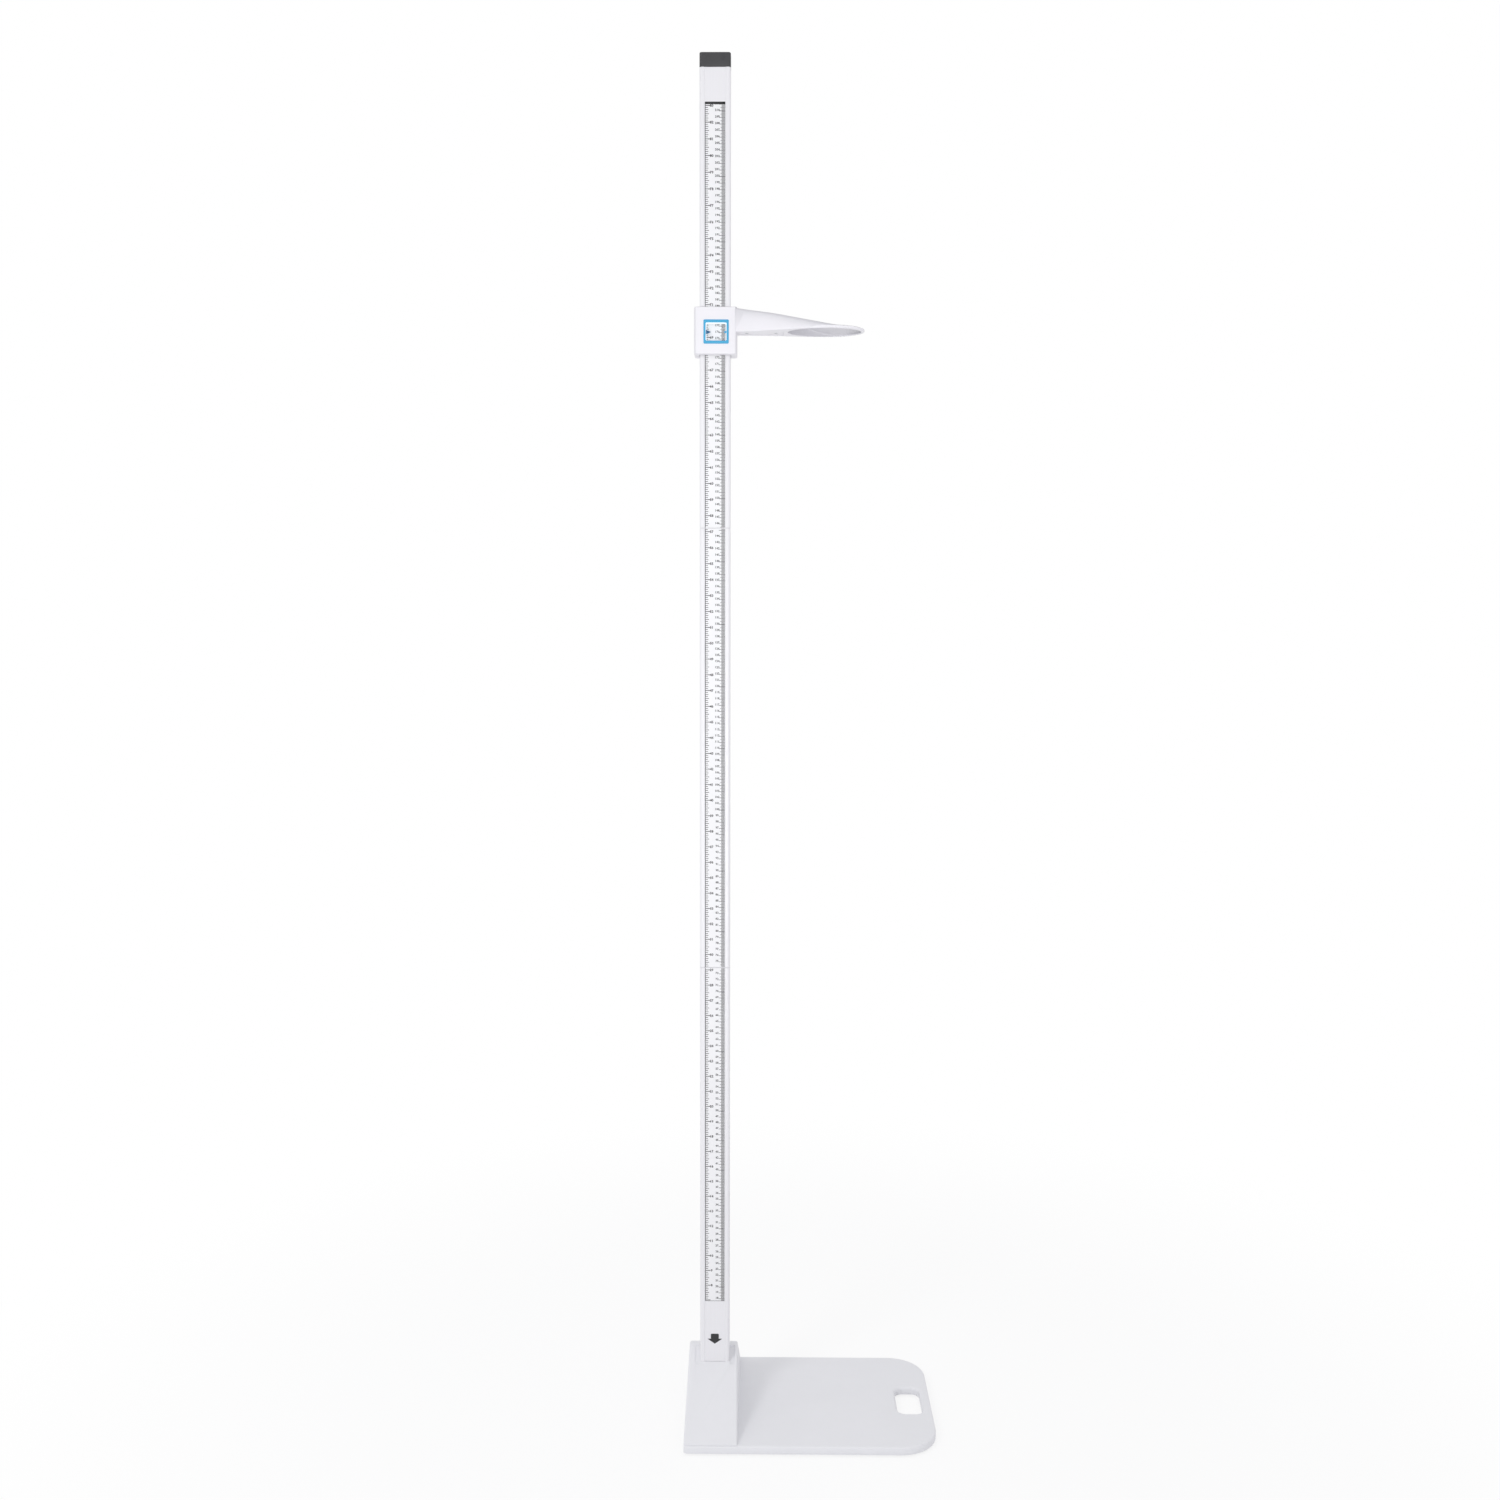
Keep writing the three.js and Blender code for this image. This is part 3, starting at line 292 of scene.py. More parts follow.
# %% [markdown]
# ## Finishes
# Every finish is a Principled shader with these patterns on its colour, roughness and normal. What
# is the same all over a surface, such as the metallic value, is set on the shader's own socket.


# %% The start that all finishes share
def start_finish(name, **levels):
    """A material with a Principled shader whose plain values are set, and its node tree."""
    material = bpy.data.materials.new(name)
    material.use_nodes = True
    tree = material.node_tree
    return material, tree, wire(tree, tree.nodes["Principled BSDF"], **levels)


def use_group(tree, group, **values):
    """Places a group in a material, sets its inputs and returns its outputs."""
    node = tree.nodes.new("ShaderNodeGroup")
    node.node_tree = group
    return wire(tree, node, **values).outputs


def blend_colours(tree, mask, low, high):
    """From low to high as the mask goes from 0 to 1; low is a colour or another node's output."""
    node = tree.nodes.new("ShaderNodeMix")
    node.data_type = "RGBA"
    start = low if isinstance(low, bpy.types.NodeSocket) else (*low, 1)
    return wire(tree, node, Factor=mask, A=start, B=(*high, 1)).outputs["Result"]


def spread(tree, value, low, high):
    """Maps a pattern's usual span, 0.3 to 0.7, onto low to high."""
    node = add_node(
        tree, "ShaderNodeMapRange", Value=value, From_Min=0.3, From_Max=0.7, To_Min=low, To_Max=high)
    return node.outputs["Result"]


def bump_from(tree, height, depth, strength):
    """A normal from a height; the depth is in metres."""
    return add_node(
        tree, "ShaderNodeBump", Height=height, Distance=depth, Strength=strength).outputs["Normal"]


# %% [markdown]
# ### Moulded plastic
# The platform and holder are white plastic with a fine spark-eroded texture, a little blue, and the
# headpiece is the same kind of plastic with a closer grain and more gloss. Broad patches change the
# roughness where hands polish it, and faint scuffs run one way. Inside the paddle's hollow, on the
# housing's front roundings and on the arm's wall from its bead up to its top edge, a darker colour
# is painted shade; the faces and vertices there carry attributes that say by how much. The window's
# collar has a faint glow, which is painted light that keeps the inside of the window bright.


# %% Moulded plastic finishes
grain_ratio = 18
grain_strength = 0.35
gloss_swing = 0.05


def moulded_plastic(name, low, high, rough, fine_scale, depth, scuffing=0.3, inner=None):
    """Two close shades, a grain of some depth in metres, and a painted shade colour where one is given.
    """
    material, tree, shader = start_finish(name, Specular_IOR_Level=0.45)
    texture = use_group(tree, grain, Fine_Scale=fine_scale, Broad_Scale=fine_scale / grain_ratio)
    worn = use_group(tree, marks, Scuff_Amount=scuffing)
    shade = blend_colours(tree, spread(tree, worn["Patches"], 0, 1), low, high)
    # Painted shade: two attributes blend in a dark colour in the hollow, on the housing's roundings and
    # up the arm's wall.
    if inner:
        shares = []
        for label in ("face_painted_shade", "wall_painted_shade"):
            node = tree.nodes.new("ShaderNodeAttribute")
            node.attribute_name = label
            shares.append(node.outputs["Fac"])
        shade = blend_colours(tree, add_math(tree, "ADD", *shares), shade, inner)
    gloss = spread(tree, worn["Patches"], rough - gloss_swing, rough + gloss_swing)
    gloss = add_math(tree, "ADD", gloss, worn["Scuffs"])
    normal = bump_from(tree, texture["Height"], depth, grain_strength)
    wire(tree, shader, Base_Color=shade, Roughness=gloss, Normal=normal)
    return material


platform_plastic = moulded_plastic(
    "platform_plastic", (0.822, 0.824, 0.85), (0.842, 0.844, 0.87),
    rough=0.46, fine_scale=2400, depth=0.00006)
# The headpiece's dark second colour is painted shade for its hollow, its roundings and its upper arm
# wall.
headpiece_plastic = moulded_plastic(
    "headpiece_plastic", (0.85, 0.84, 0.875), (0.87, 0.86, 0.895),
    rough=0.33, fine_scale=3200, depth=0.00003, scuffing=0.2, inner=(0.3, 0.3, 0.33))
joiner_plastic = moulded_plastic(
    "joiner_plastic", (0.42, 0.44, 0.47), (0.46, 0.48, 0.51),
    rough=0.5, fine_scale=1800, depth=0.00006)
bush_plastic = moulded_plastic(
    "bush_plastic", (0.66, 0.64, 0.57), (0.7, 0.68, 0.61),
    rough=0.38, fine_scale=1800, depth=0.00004)
black_plastic = moulded_plastic(
    "black_plastic", (0.035, 0.035, 0.038), (0.05, 0.05, 0.054),
    rough=0.42, fine_scale=1500, depth=0.00008)
blue_plastic = moulded_plastic(
    "blue_plastic", (0.055, 0.37, 0.63), (0.075, 0.42, 0.69),
    rough=0.2, fine_scale=2600, depth=0.00002, scuffing=0.15)
deep_blue_plastic = moulded_plastic(
    "deep_blue_plastic", (0.012, 0.09, 0.21), (0.02, 0.12, 0.26),
    rough=0.25, fine_scale=2600, depth=0.00002, scuffing=0.15)
pale_glowing_plastic = moulded_plastic(
    "pale_glowing_plastic", (0.84, 0.88, 0.9), (0.87, 0.9, 0.92),
    rough=0.3, fine_scale=2600, depth=0.00002, scuffing=0.15)
# Painted light: a faint glow on the collar keeps the inside of the window bright.
wire(
    pale_glowing_plastic.node_tree, pale_glowing_plastic.node_tree.nodes["Principled BSDF"],
    Emission_Color=(0.8, 0.94, 1.0, 1), Emission_Strength=0.38)
foot_rubber = moulded_plastic(
    "foot_rubber", (0.022, 0.022, 0.023), (0.04, 0.04, 0.041),
    rough=0.82, fine_scale=900, depth=0.0001, scuffing=0.1)
print("moulded finishes:", len(bpy.data.materials))

# %% [markdown]
# ### Coated column
# The tubes are drawn aluminium with a thin white coat. The coat has a slight orange peel, and the
# die's lines still show under it along the length. The coat isn't metal, so Metallic stays 0.

# %% Coated aluminium finish
coated_aluminium, tree, shader = start_finish("coated_aluminium", Coat_Weight=0.15, Coat_Roughness=0.3)
peel = use_group(tree, grain, Fine_Scale=700, Broad_Scale=160, Broad_Share=0.8)
drawing = use_group(tree, lines, Across_X=900, Across_Y=900, Along_Z=1.5)
worn = use_group(tree, marks, Patch_Scale=6, Scuff_Amount=0.2)
coat_shade = blend_colours(
    tree, spread(tree, drawing["Lines"], 0, 1), (0.825, 0.82, 0.845), (0.845, 0.84, 0.865))
coat_gloss = add_math(tree, "ADD", spread(tree, worn["Patches"], 0.3, 0.42), worn["Scuffs"])
relief = add_math(tree, "ADD", peel["Height"], drawing["Lines"])
wire(
    tree, shader, Base_Color=coat_shade, Roughness=coat_gloss,
    Normal=bump_from(tree, relief, 0.00003, 0.3))
print("the coat has", len(tree.nodes), "nodes")

# %% [markdown]
# ### Film and ink
# The scale is printed on a matt film. The film has a slight tooth, and the ink lies on it a little
# glossier and never quite evenly black.

# %% Film and ink finishes
scale_film, tree, shader = start_finish("scale_film", Specular_IOR_Level=0.4)
tooth = use_group(tree, grain, Fine_Scale=4000, Broad_Scale=240)
worn = use_group(tree, marks, Patch_Scale=10, Scuff_Amount=0.15)
film_shade = blend_colours(
    tree, spread(tree, worn["Patches"], 0, 1), (0.86, 0.86, 0.875), (0.885, 0.885, 0.9))
wire(
    tree, shader, Base_Color=film_shade, Roughness=spread(tree, tooth["Height"], 0.42, 0.55),
    Normal=bump_from(tree, tooth["Height"], 0.00002, 0.25))

black_ink, tree, shader = start_finish("black_ink", Specular_IOR_Level=0.5)
cover = use_group(tree, grain, Fine_Scale=1500, Broad_Scale=300)
ink_shade = blend_colours(
    tree, spread(tree, cover["Height"], 0, 1), (0.012, 0.012, 0.013), (0.022, 0.022, 0.024))
wire(tree, shader, Base_Color=ink_shade, Roughness=spread(tree, cover["Height"], 0.38, 0.5))
print("film and ink:", scale_film.name, black_ink.name)

# %% [markdown]
# ### Steel
# The screws, socket, spring and underplate are zinc-plated steel: bright grey metal with short
# brushed streaks and faint cloudy patches in the plating.


# %% Steel finishes
def plated_steel(name, low, high, rough, streak_scales):
    """Plated steel whose streaks have a scale of their own along X, Y and Z."""
    across_x, across_y, along_z = streak_scales
    material, tree, shader = start_finish(name, Metallic=1.0)
    streaks = use_group(tree, lines, Across_X=across_x, Across_Y=across_y, Along_Z=along_z)
    worn = use_group(tree, marks, Patch_Scale=30, Scuff_Amount=0.25)
    shade = blend_colours(tree, spread(tree, worn["Patches"], 0, 1), low, high)
    gloss = spread(tree, streaks["Lines"], rough - 0.08, rough + 0.1)
    gloss = add_math(tree, "ADD", gloss, worn["Scuffs"])
    normal = bump_from(tree, streaks["Lines"], 0.00002, 0.3)
    wire(tree, shader, Base_Color=shade, Roughness=gloss, Normal=normal)
    return material


screw_steel = plated_steel(
    "screw_steel", (0.5, 0.52, 0.55), (0.6, 0.62, 0.64), rough=0.28, streak_scales=(900, 900, 900))
sheet_steel = plated_steel(
    "sheet_steel", (0.47, 0.48, 0.5), (0.58, 0.59, 0.61), rough=0.38, streak_scales=(12, 1500, 1500))
print("steel finishes:", screw_steel.name, sheet_steel.name)

# %% [markdown]
# ### Felt and clear window
# The brake pad is felt, a tangle of fibres that a stretched noise can stand for, with some sheen.
# The window is clear plastic. A refracting pane would keep the lamps from the scale behind it, so
# shadow and diffuse rays pass straight through it and only what is seen is refracted.

# %% Felt finish
brake_felt, tree, shader = start_finish("brake_felt", Sheen_Weight=0.5, Sheen_Roughness=0.6)
fibres = use_group(tree, lines, Across_X=900, Across_Y=3000, Along_Z=2200)
felt_shade = blend_colours(
    tree, spread(tree, fibres["Lines"], 0, 1), (0.07, 0.073, 0.08), (0.15, 0.155, 0.165))
wire(
    tree, shader, Base_Color=felt_shade, Roughness=spread(tree, fibres["Lines"], 0.85, 1),
    Normal=bump_from(tree, fibres["Lines"], 0.0003, 0.6))

# %% Clear window finish
clear_window, tree, shader = start_finish(
    "clear_window", Base_Color=(0.97, 0.985, 0.99, 1), Transmission_Weight=1.0, IOR=1.2, Alpha=0.2)
haze = use_group(tree, marks, Patch_Scale=60, Scuff_Scale=300, Scuff_Amount=0.1)
wire(tree, shader, Roughness=add_math(tree, "MULTIPLY", haze["Scuffs"], 0.1))
passing = add_node(tree, "ShaderNodeBsdfTransparent")
window_rays = add_node(tree, "ShaderNodeLightPath").outputs
window_pass = add_math(tree, "MAXIMUM", window_rays["Is Shadow Ray"], window_rays["Is Diffuse Ray"])
window_mix = add_node(tree, "ShaderNodeMixShader", window_pass, shader.outputs[0], passing.outputs[0])
wire(tree, tree.nodes["Material Output"], Surface=window_mix.outputs[0])
print("finishes made:", len(bpy.data.materials))

# %% [markdown]
# ## Tools for modelling
# Most pieces here are plates, blocks and tubes with rounded corners. They start as one flat face
# whose corners are bevelled, which is then raised to a block. Openings are cut with the Boolean
# modifier, because a cut keeps the walls exact, and the new rims are bevelled afterwards.


# %% Outlines and blocks
def rectangle(width, depth):
    """A bmesh with one upward face about the origin."""
    bm = bmesh.new()
    bmesh.ops.create_grid(bm, x_segments=1, y_segments=1, size=0.5)
    bmesh.ops.scale(bm, vec=(width, depth, 1), verts=bm.verts[:])
    return bm


def flat_face(points):
    """A bmesh with one face through the points."""
    bm = bmesh.new()
    bm.faces.new([bm.verts.new(point) for point in points])
    return bm


def round_corners(bm, radius, steps, where=lambda place: True):
    """Rounds the corners of a flat face, all of them or those at a place that fits."""
    bmesh.ops.bevel(
        bm, geom=[vert for vert in bm.verts if where(vert.co)], offset=radius, offset_type="OFFSET",
        segments=steps, profile=0.5, affect="VERTICES", material=-1)
    return bm


def verts_in(result):
    """The vertices among the new geometry that an operator returns."""
    return [item for item in result["geom"] if isinstance(item, bmesh.types.BMVert)]


def raise_faces(bm, x=0.0, y=0.0, z=0.0):
    """Raises all flat faces of a bmesh to a closed block."""
    grown = bmesh.ops.extrude_face_region(bm, geom=bm.faces[:])
    bmesh.ops.translate(bm, vec=(x, y, z), verts=verts_in(grown))
    bmesh.ops.recalc_face_normals(bm, faces=bm.faces[:])
    return bm


def move(bm, x=0.0, y=0.0, z=0.0):
    bmesh.ops.translate(bm, vec=(x, y, z), verts=bm.verts[:])
    return bm


def turn(bm, matrix):
    bmesh.ops.rotate(bm, cent=(0, 0, 0), matrix=matrix, verts=bm.verts[:])
    return bm


def face_front(bm):
    """Turns a bmesh so that its Y becomes Z, and what was raised along Z comes towards -Y."""
    return turn(bm, Matrix.Rotation(math.pi / 2, 3, "X"))


def block(width, depth, radius, low, high, steps=10):
    """A block with upright rounded corners, centred in X and Y."""
    bm = round_corners(rectangle(width, depth), radius, steps)
    raise_faces(bm, z=high - low)
    return move(bm, z=low)


sample = block(0.04, 0.03, 0.004, 0, 0.01)
print("a block has", len(sample.faces), "faces and", len(sample.verts), "vertices")
sample.free()

# %% Cuts and joins
weld = 0.000001
flat_angle = math.radians(0.2)


def lend_object(bm):
    """A short-lived object that holds a bmesh for a modifier to work on."""
    mesh = bpy.data.meshes.new("lent")
    bm.to_mesh(mesh)
    bm.free()
    obj = bpy.data.objects.new("lent", mesh)
    scene.collection.objects.link(obj)
    return obj


def combine(bm, tools, operation="DIFFERENCE"):
    """Cuts the tools out of a bmesh, or joins them on, and returns the new bmesh."""
    body = lend_object(bm)
    lent = [lend_object(tool) for tool in tools]
    for other in lent:
        modifier = body.modifiers.new("combine", "BOOLEAN")
        modifier.operation = operation
        modifier.solver = "EXACT"
        modifier.object = other
    evaluated = body.evaluated_get(bpy.context.evaluated_depsgraph_get())
    result = bmesh.new()
    result.from_mesh(evaluated.to_mesh())
    evaluated.to_mesh_clear()
    for obj in [body, *lent]:
        mesh = obj.data
        bpy.data.objects.remove(obj)
        bpy.data.meshes.remove(mesh)
    bmesh.ops.remove_doubles(result, verts=result.verts[:], dist=2 * weld)
    bmesh.ops.dissolve_limit(
        result, angle_limit=flat_angle, verts=result.verts[:], edges=result.edges[:])
    return result


# %% Rounded edges
def near(value, target, margin=hair / 5):
    return abs(value - target) < margin


def sharp_edges(bm, where, least=30):
    """The edges between two faces that meet at more than least degrees, at a place that fits."""
    bm.normal_update()
    limit = math.radians(least)
    return [
        edge for edge in bm.edges
        if len(edge.link_faces) == 2 and edge.calc_face_angle() > limit
        and where((edge.verts[0].co + edge.verts[1].co) / 2)
    ]


def round_edges(bm, where, radius, steps=4, least=30):
    """Bevels the sharp edges at a place that fits."""
    bmesh.ops.bevel(
        bm, geom=sharp_edges(bm, where, least), offset=radius, offset_type="OFFSET", segments=steps,
        profile=0.5, affect="EDGES", material=-1, clamp_overlap=True)
    return bm


# %% Finished pieces
def add_piece(name, bm, body, finish, stands_for=(), crease=28):
    """Makes the object of a piece, smooth but for its creases, and lets it ride on its body."""
    bm.normal_update()
    limit = math.radians(crease)
    for face in bm.faces:
        face.smooth = True
    for edge in bm.edges:
        edge.smooth = len(edge.link_faces) == 2 and edge.calc_face_angle() < limit
    mesh = bpy.data.meshes.new(name)
    bm.to_mesh(mesh)
    bm.free()
    mesh.materials.append(finish)
    piece = bpy.data.objects.new(name, mesh)
    scene.collection.objects.link(piece)
    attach(piece, body)
    if stands_for:
        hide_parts(*stands_for)
    print(name, "has", len(mesh.polygons), "faces on", body)
    return piece


def dress(node, finish):
    """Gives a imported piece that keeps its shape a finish."""
    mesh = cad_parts[node].data
    mesh.materials.clear()
    mesh.materials.append(finish)


# %% [markdown]
# ## The platform
# The platform is a thin tray-shaped moulding, turned over, with two well rounded free corners, a
# soft rim and a handle opening near the free end. A flat face with bevelled corners is raised to
# the slab and the opening is cut. Then the rims are rounded: 3 mm outside and 5 mm at the handle,
# where a hand goes in. Underneath, an inset and a second raise leave the skirt that the steel
# underplate sits in.

# %% Make the platform
free_corner = 0.061
heel_corner = 0.006
plate_rim = 0.003
under_rim = 0.0008
handle_width = 0.042
handle_length = 0.084
handle_corner = 0.014
handle_rim = 0.005
handle_x = plate_high.x - 0.036
skirt_wall = 0.003
skirt_recess = 0.007
facing_down = -0.99

plate_size = plate_high - plate_low
plate = rectangle(plate_size.x, plate_size.y)
round_corners(plate, free_corner, steps=24, where=lambda p: p.x > 0)
round_corners(plate, heel_corner, steps=6, where=lambda p: p.x < 0)
raise_faces(plate, z=plate_size.z)
move(plate, z=plate_low.z)
handle_tool = block(handle_width, handle_length, handle_corner, 0, plate_top + plate_rim, steps=12)
plate = combine(plate, [move(handle_tool, x=handle_x)])


def at_handle(place):
    near_x = abs(place.x - handle_x) < handle_width / 2 + 5 * hair
    return near_x and abs(place.y) < handle_length / 2 + 5 * hair


round_edges(plate, lambda p: near(p.z, plate_top) and not at_handle(p), plate_rim, steps=5)
round_edges(plate, lambda p: near(p.z, plate_top) and at_handle(p), handle_rim, steps=6)
plate.normal_update()
underside = [face for face in plate.faces if face.normal.z < facing_down]
bmesh.ops.inset_region(plate, faces=underside, thickness=skirt_wall, use_even_offset=True)
sunk = bmesh.ops.extrude_face_region(plate, geom=underside)
bmesh.ops.delete(plate, geom=underside, context="FACES")
bmesh.ops.translate(plate, vec=(0, 0, skirt_recess), verts=verts_in(sunk))
round_edges(plate, lambda p: near(p.z, plate_low.z), under_rim, steps=2, least=60)
add_piece("platform", plate, "base", platform_plastic, ["base_platform"])
dress("underplate", sheet_steel)

# %% [markdown]
# ## The column holder
# The holder is a ridge across the heel end. Its front slope runs in one plane from the platform's
# front edge up to a soft crest behind the column, and beside the column there is a shallow finger
# recess on each side, whose floor follows the slope. Its side outline is five corners; raised across
# the platform and drawn in towards the top it is the ridge, and the crest and the end edges are
# bevelled before the column's slot and the recesses are cut.

# %% Make the holder
past = 0.02
crest_y = 0.025
crest_height = 0.091
toe_height = 0.002
heel_draft = 0.0022
platform_draft = 0.0032
crest_round = 0.014
end_round = 0.005
slot_fit = 0.00005
sleeve_low = plate_top + 0.047
pocket_width = 0.0085
pocket_rear = 0.016
pocket_depths = {-1: 0.0012, 1: 0.0028}
pocket_rim = 0.0007
holder_wall = 0.003
slope = (crest_height - toe_height) / (crest_y - holder_low.y)


def ridge(inset, drop):
    """The holder's wedge, drawn in by inset at its ends and lowered by drop."""
    front, rear = holder_low.y, holder_high.y
    foot = plate_top - drop
    toe = foot + toe_height
    side = [(front, foot), (front, toe), (crest_y, foot + crest_height), (rear, toe), (rear, foot)]
    heel = holder_low.x - column_x + inset
    free = holder_high.x - column_x - inset
    bm = raise_faces(flat_face([(heel, y, z) for y, z in side]), x=free - heel)
    for vert in bm.verts:
        rise = (vert.co.z - plate_top) / crest_height
        vert.co.x += heel_draft * rise if vert.co.x < 0 else -platform_draft * rise
    return round_edges(bm, lambda p: near(p.y, crest_y), crest_round, steps=10, least=10)


def pocket_tool(side, growth, drop):
    """A recess beside the column (side -1 or 1) with a round front end and a floor along the slope."""
    width = pocket_width + 2 * growth
    depth = column_depth / 2 + pocket_rear + growth + width / 2
    bm = round_corners(rectangle(width, depth), width / 2 - hair / 10, steps=12, where=lambda p: p.y < 0)
    raise_faces(bm, z=crest_height)
    middle_x = side * (column_width + pocket_width) / 2
    move(bm, middle_x, pocket_rear + growth - depth / 2, sleeve_low)
    return combine(bm, [ridge(-past, drop)])


def at_end(place):
    return place.z > plate_top + toe_height / 2 and abs(place.x) > column_width / 2


holder = ridge(0, 0)
round_edges(holder, at_end, end_round, steps=6, least=40)
print("the ridge has", len(holder.faces), "faces")

# %% Hollow the holder and cut its openings
skin_drop = holder_wall * math.hypot(1, slope)
liner_high = holder_high.z + past
slot_width = column_width + 2 * slot_fit
slot_depth = column_depth + 2 * slot_fit
column_corner = 0.004
liner = block(
    slot_width + 2 * holder_wall, slot_depth + 2 * holder_wall, column_corner, sleeve_low, liner_high)
around_pockets = [
    pocket_tool(side, holder_wall, depth + skin_drop) for side, depth in pocket_depths.items()
]
cavity = combine(ridge(holder_wall, skin_drop), [liner, *around_pockets])
slot = block(slot_width, slot_depth, column_corner + slot_fit, sleeve_low - past, liner_high)
pockets = [pocket_tool(side, 0, depth) for side, depth in pocket_depths.items()]
holder = combine(holder, [cavity, slot, *pockets])


def on_pocket_rim(place):
    """Whether a point lies where a pocket meets the slope's surface."""
    surface = plate_top + toe_height + slope * (place.y - holder_low.y)
    in_pocket = column_width / 2 + slot_fit < abs(place.x) < column_width / 2 + pocket_width + hair
    return in_pocket and place.z > surface - 10 * hair and place.y < pocket_rear + hair


round_edges(holder, on_pocket_rim, pocket_rim, steps=3, least=25)
move(holder, x=column_x)
add_piece("holder", holder, "base", platform_plastic, ["column_holder"])
dress("column_socket", sheet_steel)

# %% [markdown]
# ## The column
# Each of the three tubes is one drawn profile cut to length: a hollow rounded rectangle with a
# shallow channel down its front for the scale. A real one comes out of a die, so here too the
# profile is raised in one go and the channel and bore are cut along its whole length. Only the sawn
# ends are broken with a fine chamfer, which shows as a thin line at the two seams.

# %% Shapes that cut the column
column_wall = 0.002
channel_width = 0.033
channel_depth = 0.0008
end_chamfer = 0.0003
inner_corner = 0.003
inner_width = column_width - 2 * column_wall
inner_depth = column_depth - 2 * column_wall
screw_spacing = 0.024
small_head = 0.0034


def bar(width, depth, height, x=0.0, y=0.0, z=0.0):
    """A plain block about a point, used to cut and to join."""
    bm = bmesh.new()
    bmesh.ops.create_cube(bm, size=1)
    bmesh.ops.scale(bm, vec=(width, depth, height), verts=bm.verts[:])
    return move(bm, x, y, z)


def rod(radius, low, high, x=0.0, y=0.0):
    """An upright round bar from low to high."""
    bm = bmesh.new()
    bmesh.ops.create_cone(
        bm, cap_ends=True, segments=32, radius1=radius, radius2=radius, depth=high - low)
    return move(bm, x, y, (low + high) / 2)


def rod_behind(radius, x, z, front, rear):
    """A round bar along Y, for the screws at the back."""
    return move(face_front(rod(radius, -rear, -front)), x, 0, z)


def channel_tool(low, high):
    """A bar that is wider in front than behind, so the channel's sides lean outwards."""
    bm = bar(channel_width + 2 * channel_depth, 2 * channel_depth, high - low + 2 * past)
    for vert in bm.verts:
        vert.co.x -= math.copysign(channel_depth, vert.co.x * vert.co.y)
    return move(bm, 0, -column_depth / 2, (low + high) / 2)


# %% Make the three tubes
def add_tube(node, body, screw_heights):
    low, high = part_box(node)
    tube = block(column_width, column_depth, column_corner, low.z, high.z, steps=6)
    bore = block(inner_width, inner_depth, inner_corner, low.z - past, high.z + past, steps=5)
    holes = [
        rod_behind(small_head + clearance, side * screw_spacing / 2, height, 0, column_depth)
        for height in screw_heights for side in (-1, 1)
    ]
    tube = combine(tube, [bore, channel_tool(low.z, high.z), *holes])
    round_edges(tube, lambda p: near(p.z, low.z) or near(p.z, high.z), end_chamfer, steps=1)
    move(tube, x=column_x)
    name = node.replace("section", "tube")
    return add_piece(name, tube, body, coated_aluminium, [node])


def screw_height(name):
    low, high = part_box(name)
    return (low.z + high.z) / 2


foot_screw_z = screw_height("column_foot_screw_1")
lower_screw_z = screw_height("lower_joiner_screw_1")
upper_screw_z = screw_height("upper_joiner_screw_1")
add_tube("lower_section", "lower_column", [foot_screw_z, lower_screw_z])
add_tube("middle_section", "middle_column", [upper_screw_z])
add_tube("upper_section", "upper_column", [])

# %% [markdown]
# ## Plugs, foot and cap
# The tubes hold together by plugs that stay in the lower one of each pair. A plug is a hollow
# moulding with a tapered lead-in and shallow relief grooves along its faces, so that only the
# ridges between them grip. The lowest plug ends in a solid foot, and the cap at the top is a plug
# with a low crowned head as wide as the tube.

# %% Make the plugs
plug_wall = 0.0025
plug_width = inner_width - 2 * clearance
plug_depth = inner_depth - 2 * clearance
plug_corner = inner_corner - clearance
lead_in = 0.0012
groove_width = 0.005
groove_depth = 0.0007
groove_margin = 4 * lead_in
groove_shares = (-0.32, -0.107, 0.107, 0.32)
plug_hole = 0.0019


def plug_bore(low, high):
    return block(plug_width - 2 * plug_wall, plug_depth - 2 * plug_wall, plug_corner, low, high, steps=5)


def plug(low, high, floor):
    """A hollow plug with grooved faces; it is open above the floor."""
    bm = block(plug_width, plug_depth, plug_corner, low, high, steps=5)
    round_edges(bm, lambda p: near(p.z, high), lead_in, steps=2)
    grooves = [
        bar(groove_width, 2 * groove_depth, high - low - 2 * groove_margin,
            share * plug_width, side * plug_depth / 2, (low + high) / 2)
        for share in groove_shares for side in (-1, 1)
    ]
    return combine(bm, [plug_bore(floor, high + past), *grooves])


def plug_holes(height):
    return [rod_behind(plug_hole, side * screw_spacing / 2, height, 0, column_depth) for side in (-1, 1)]


def add_joiner(node, body, height):
    low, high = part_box(node)
    joiner = combine(plug(low.z, high.z, low.z - past), plug_holes(height))
    move(joiner, x=column_x)
    return add_piece(node + "_plug", joiner, body, joiner_plastic, [node])


add_joiner("lower_joiner", "lower_column", lower_screw_z)
add_joiner("upper_joiner", "middle_column", upper_screw_z)

# %% Make the column's foot
foot_low, foot_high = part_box("column_foot")
foot_round = 0.001
foot_block_top = lower_low.z - clearance
foot = plug(foot_block_top - clearance, foot_high.z, foot_block_top)
foot_block = block(column_width, column_depth, column_corner, foot_low.z, foot_block_top, steps=6)
round_edges(foot_block, lambda p: near(p.z, foot_low.z), foot_round, steps=3)
foot = combine(foot, [foot_block], "UNION")
foot_bore = plug_bore(foot_low.z + plug_wall, foot_high.z + past)
foot = combine(foot, [foot_bore, *plug_holes(foot_screw_z)])
move(foot, x=column_x)
add_piece("column_foot_plug", foot, "lower_column", black_plastic, ["column_foot"])

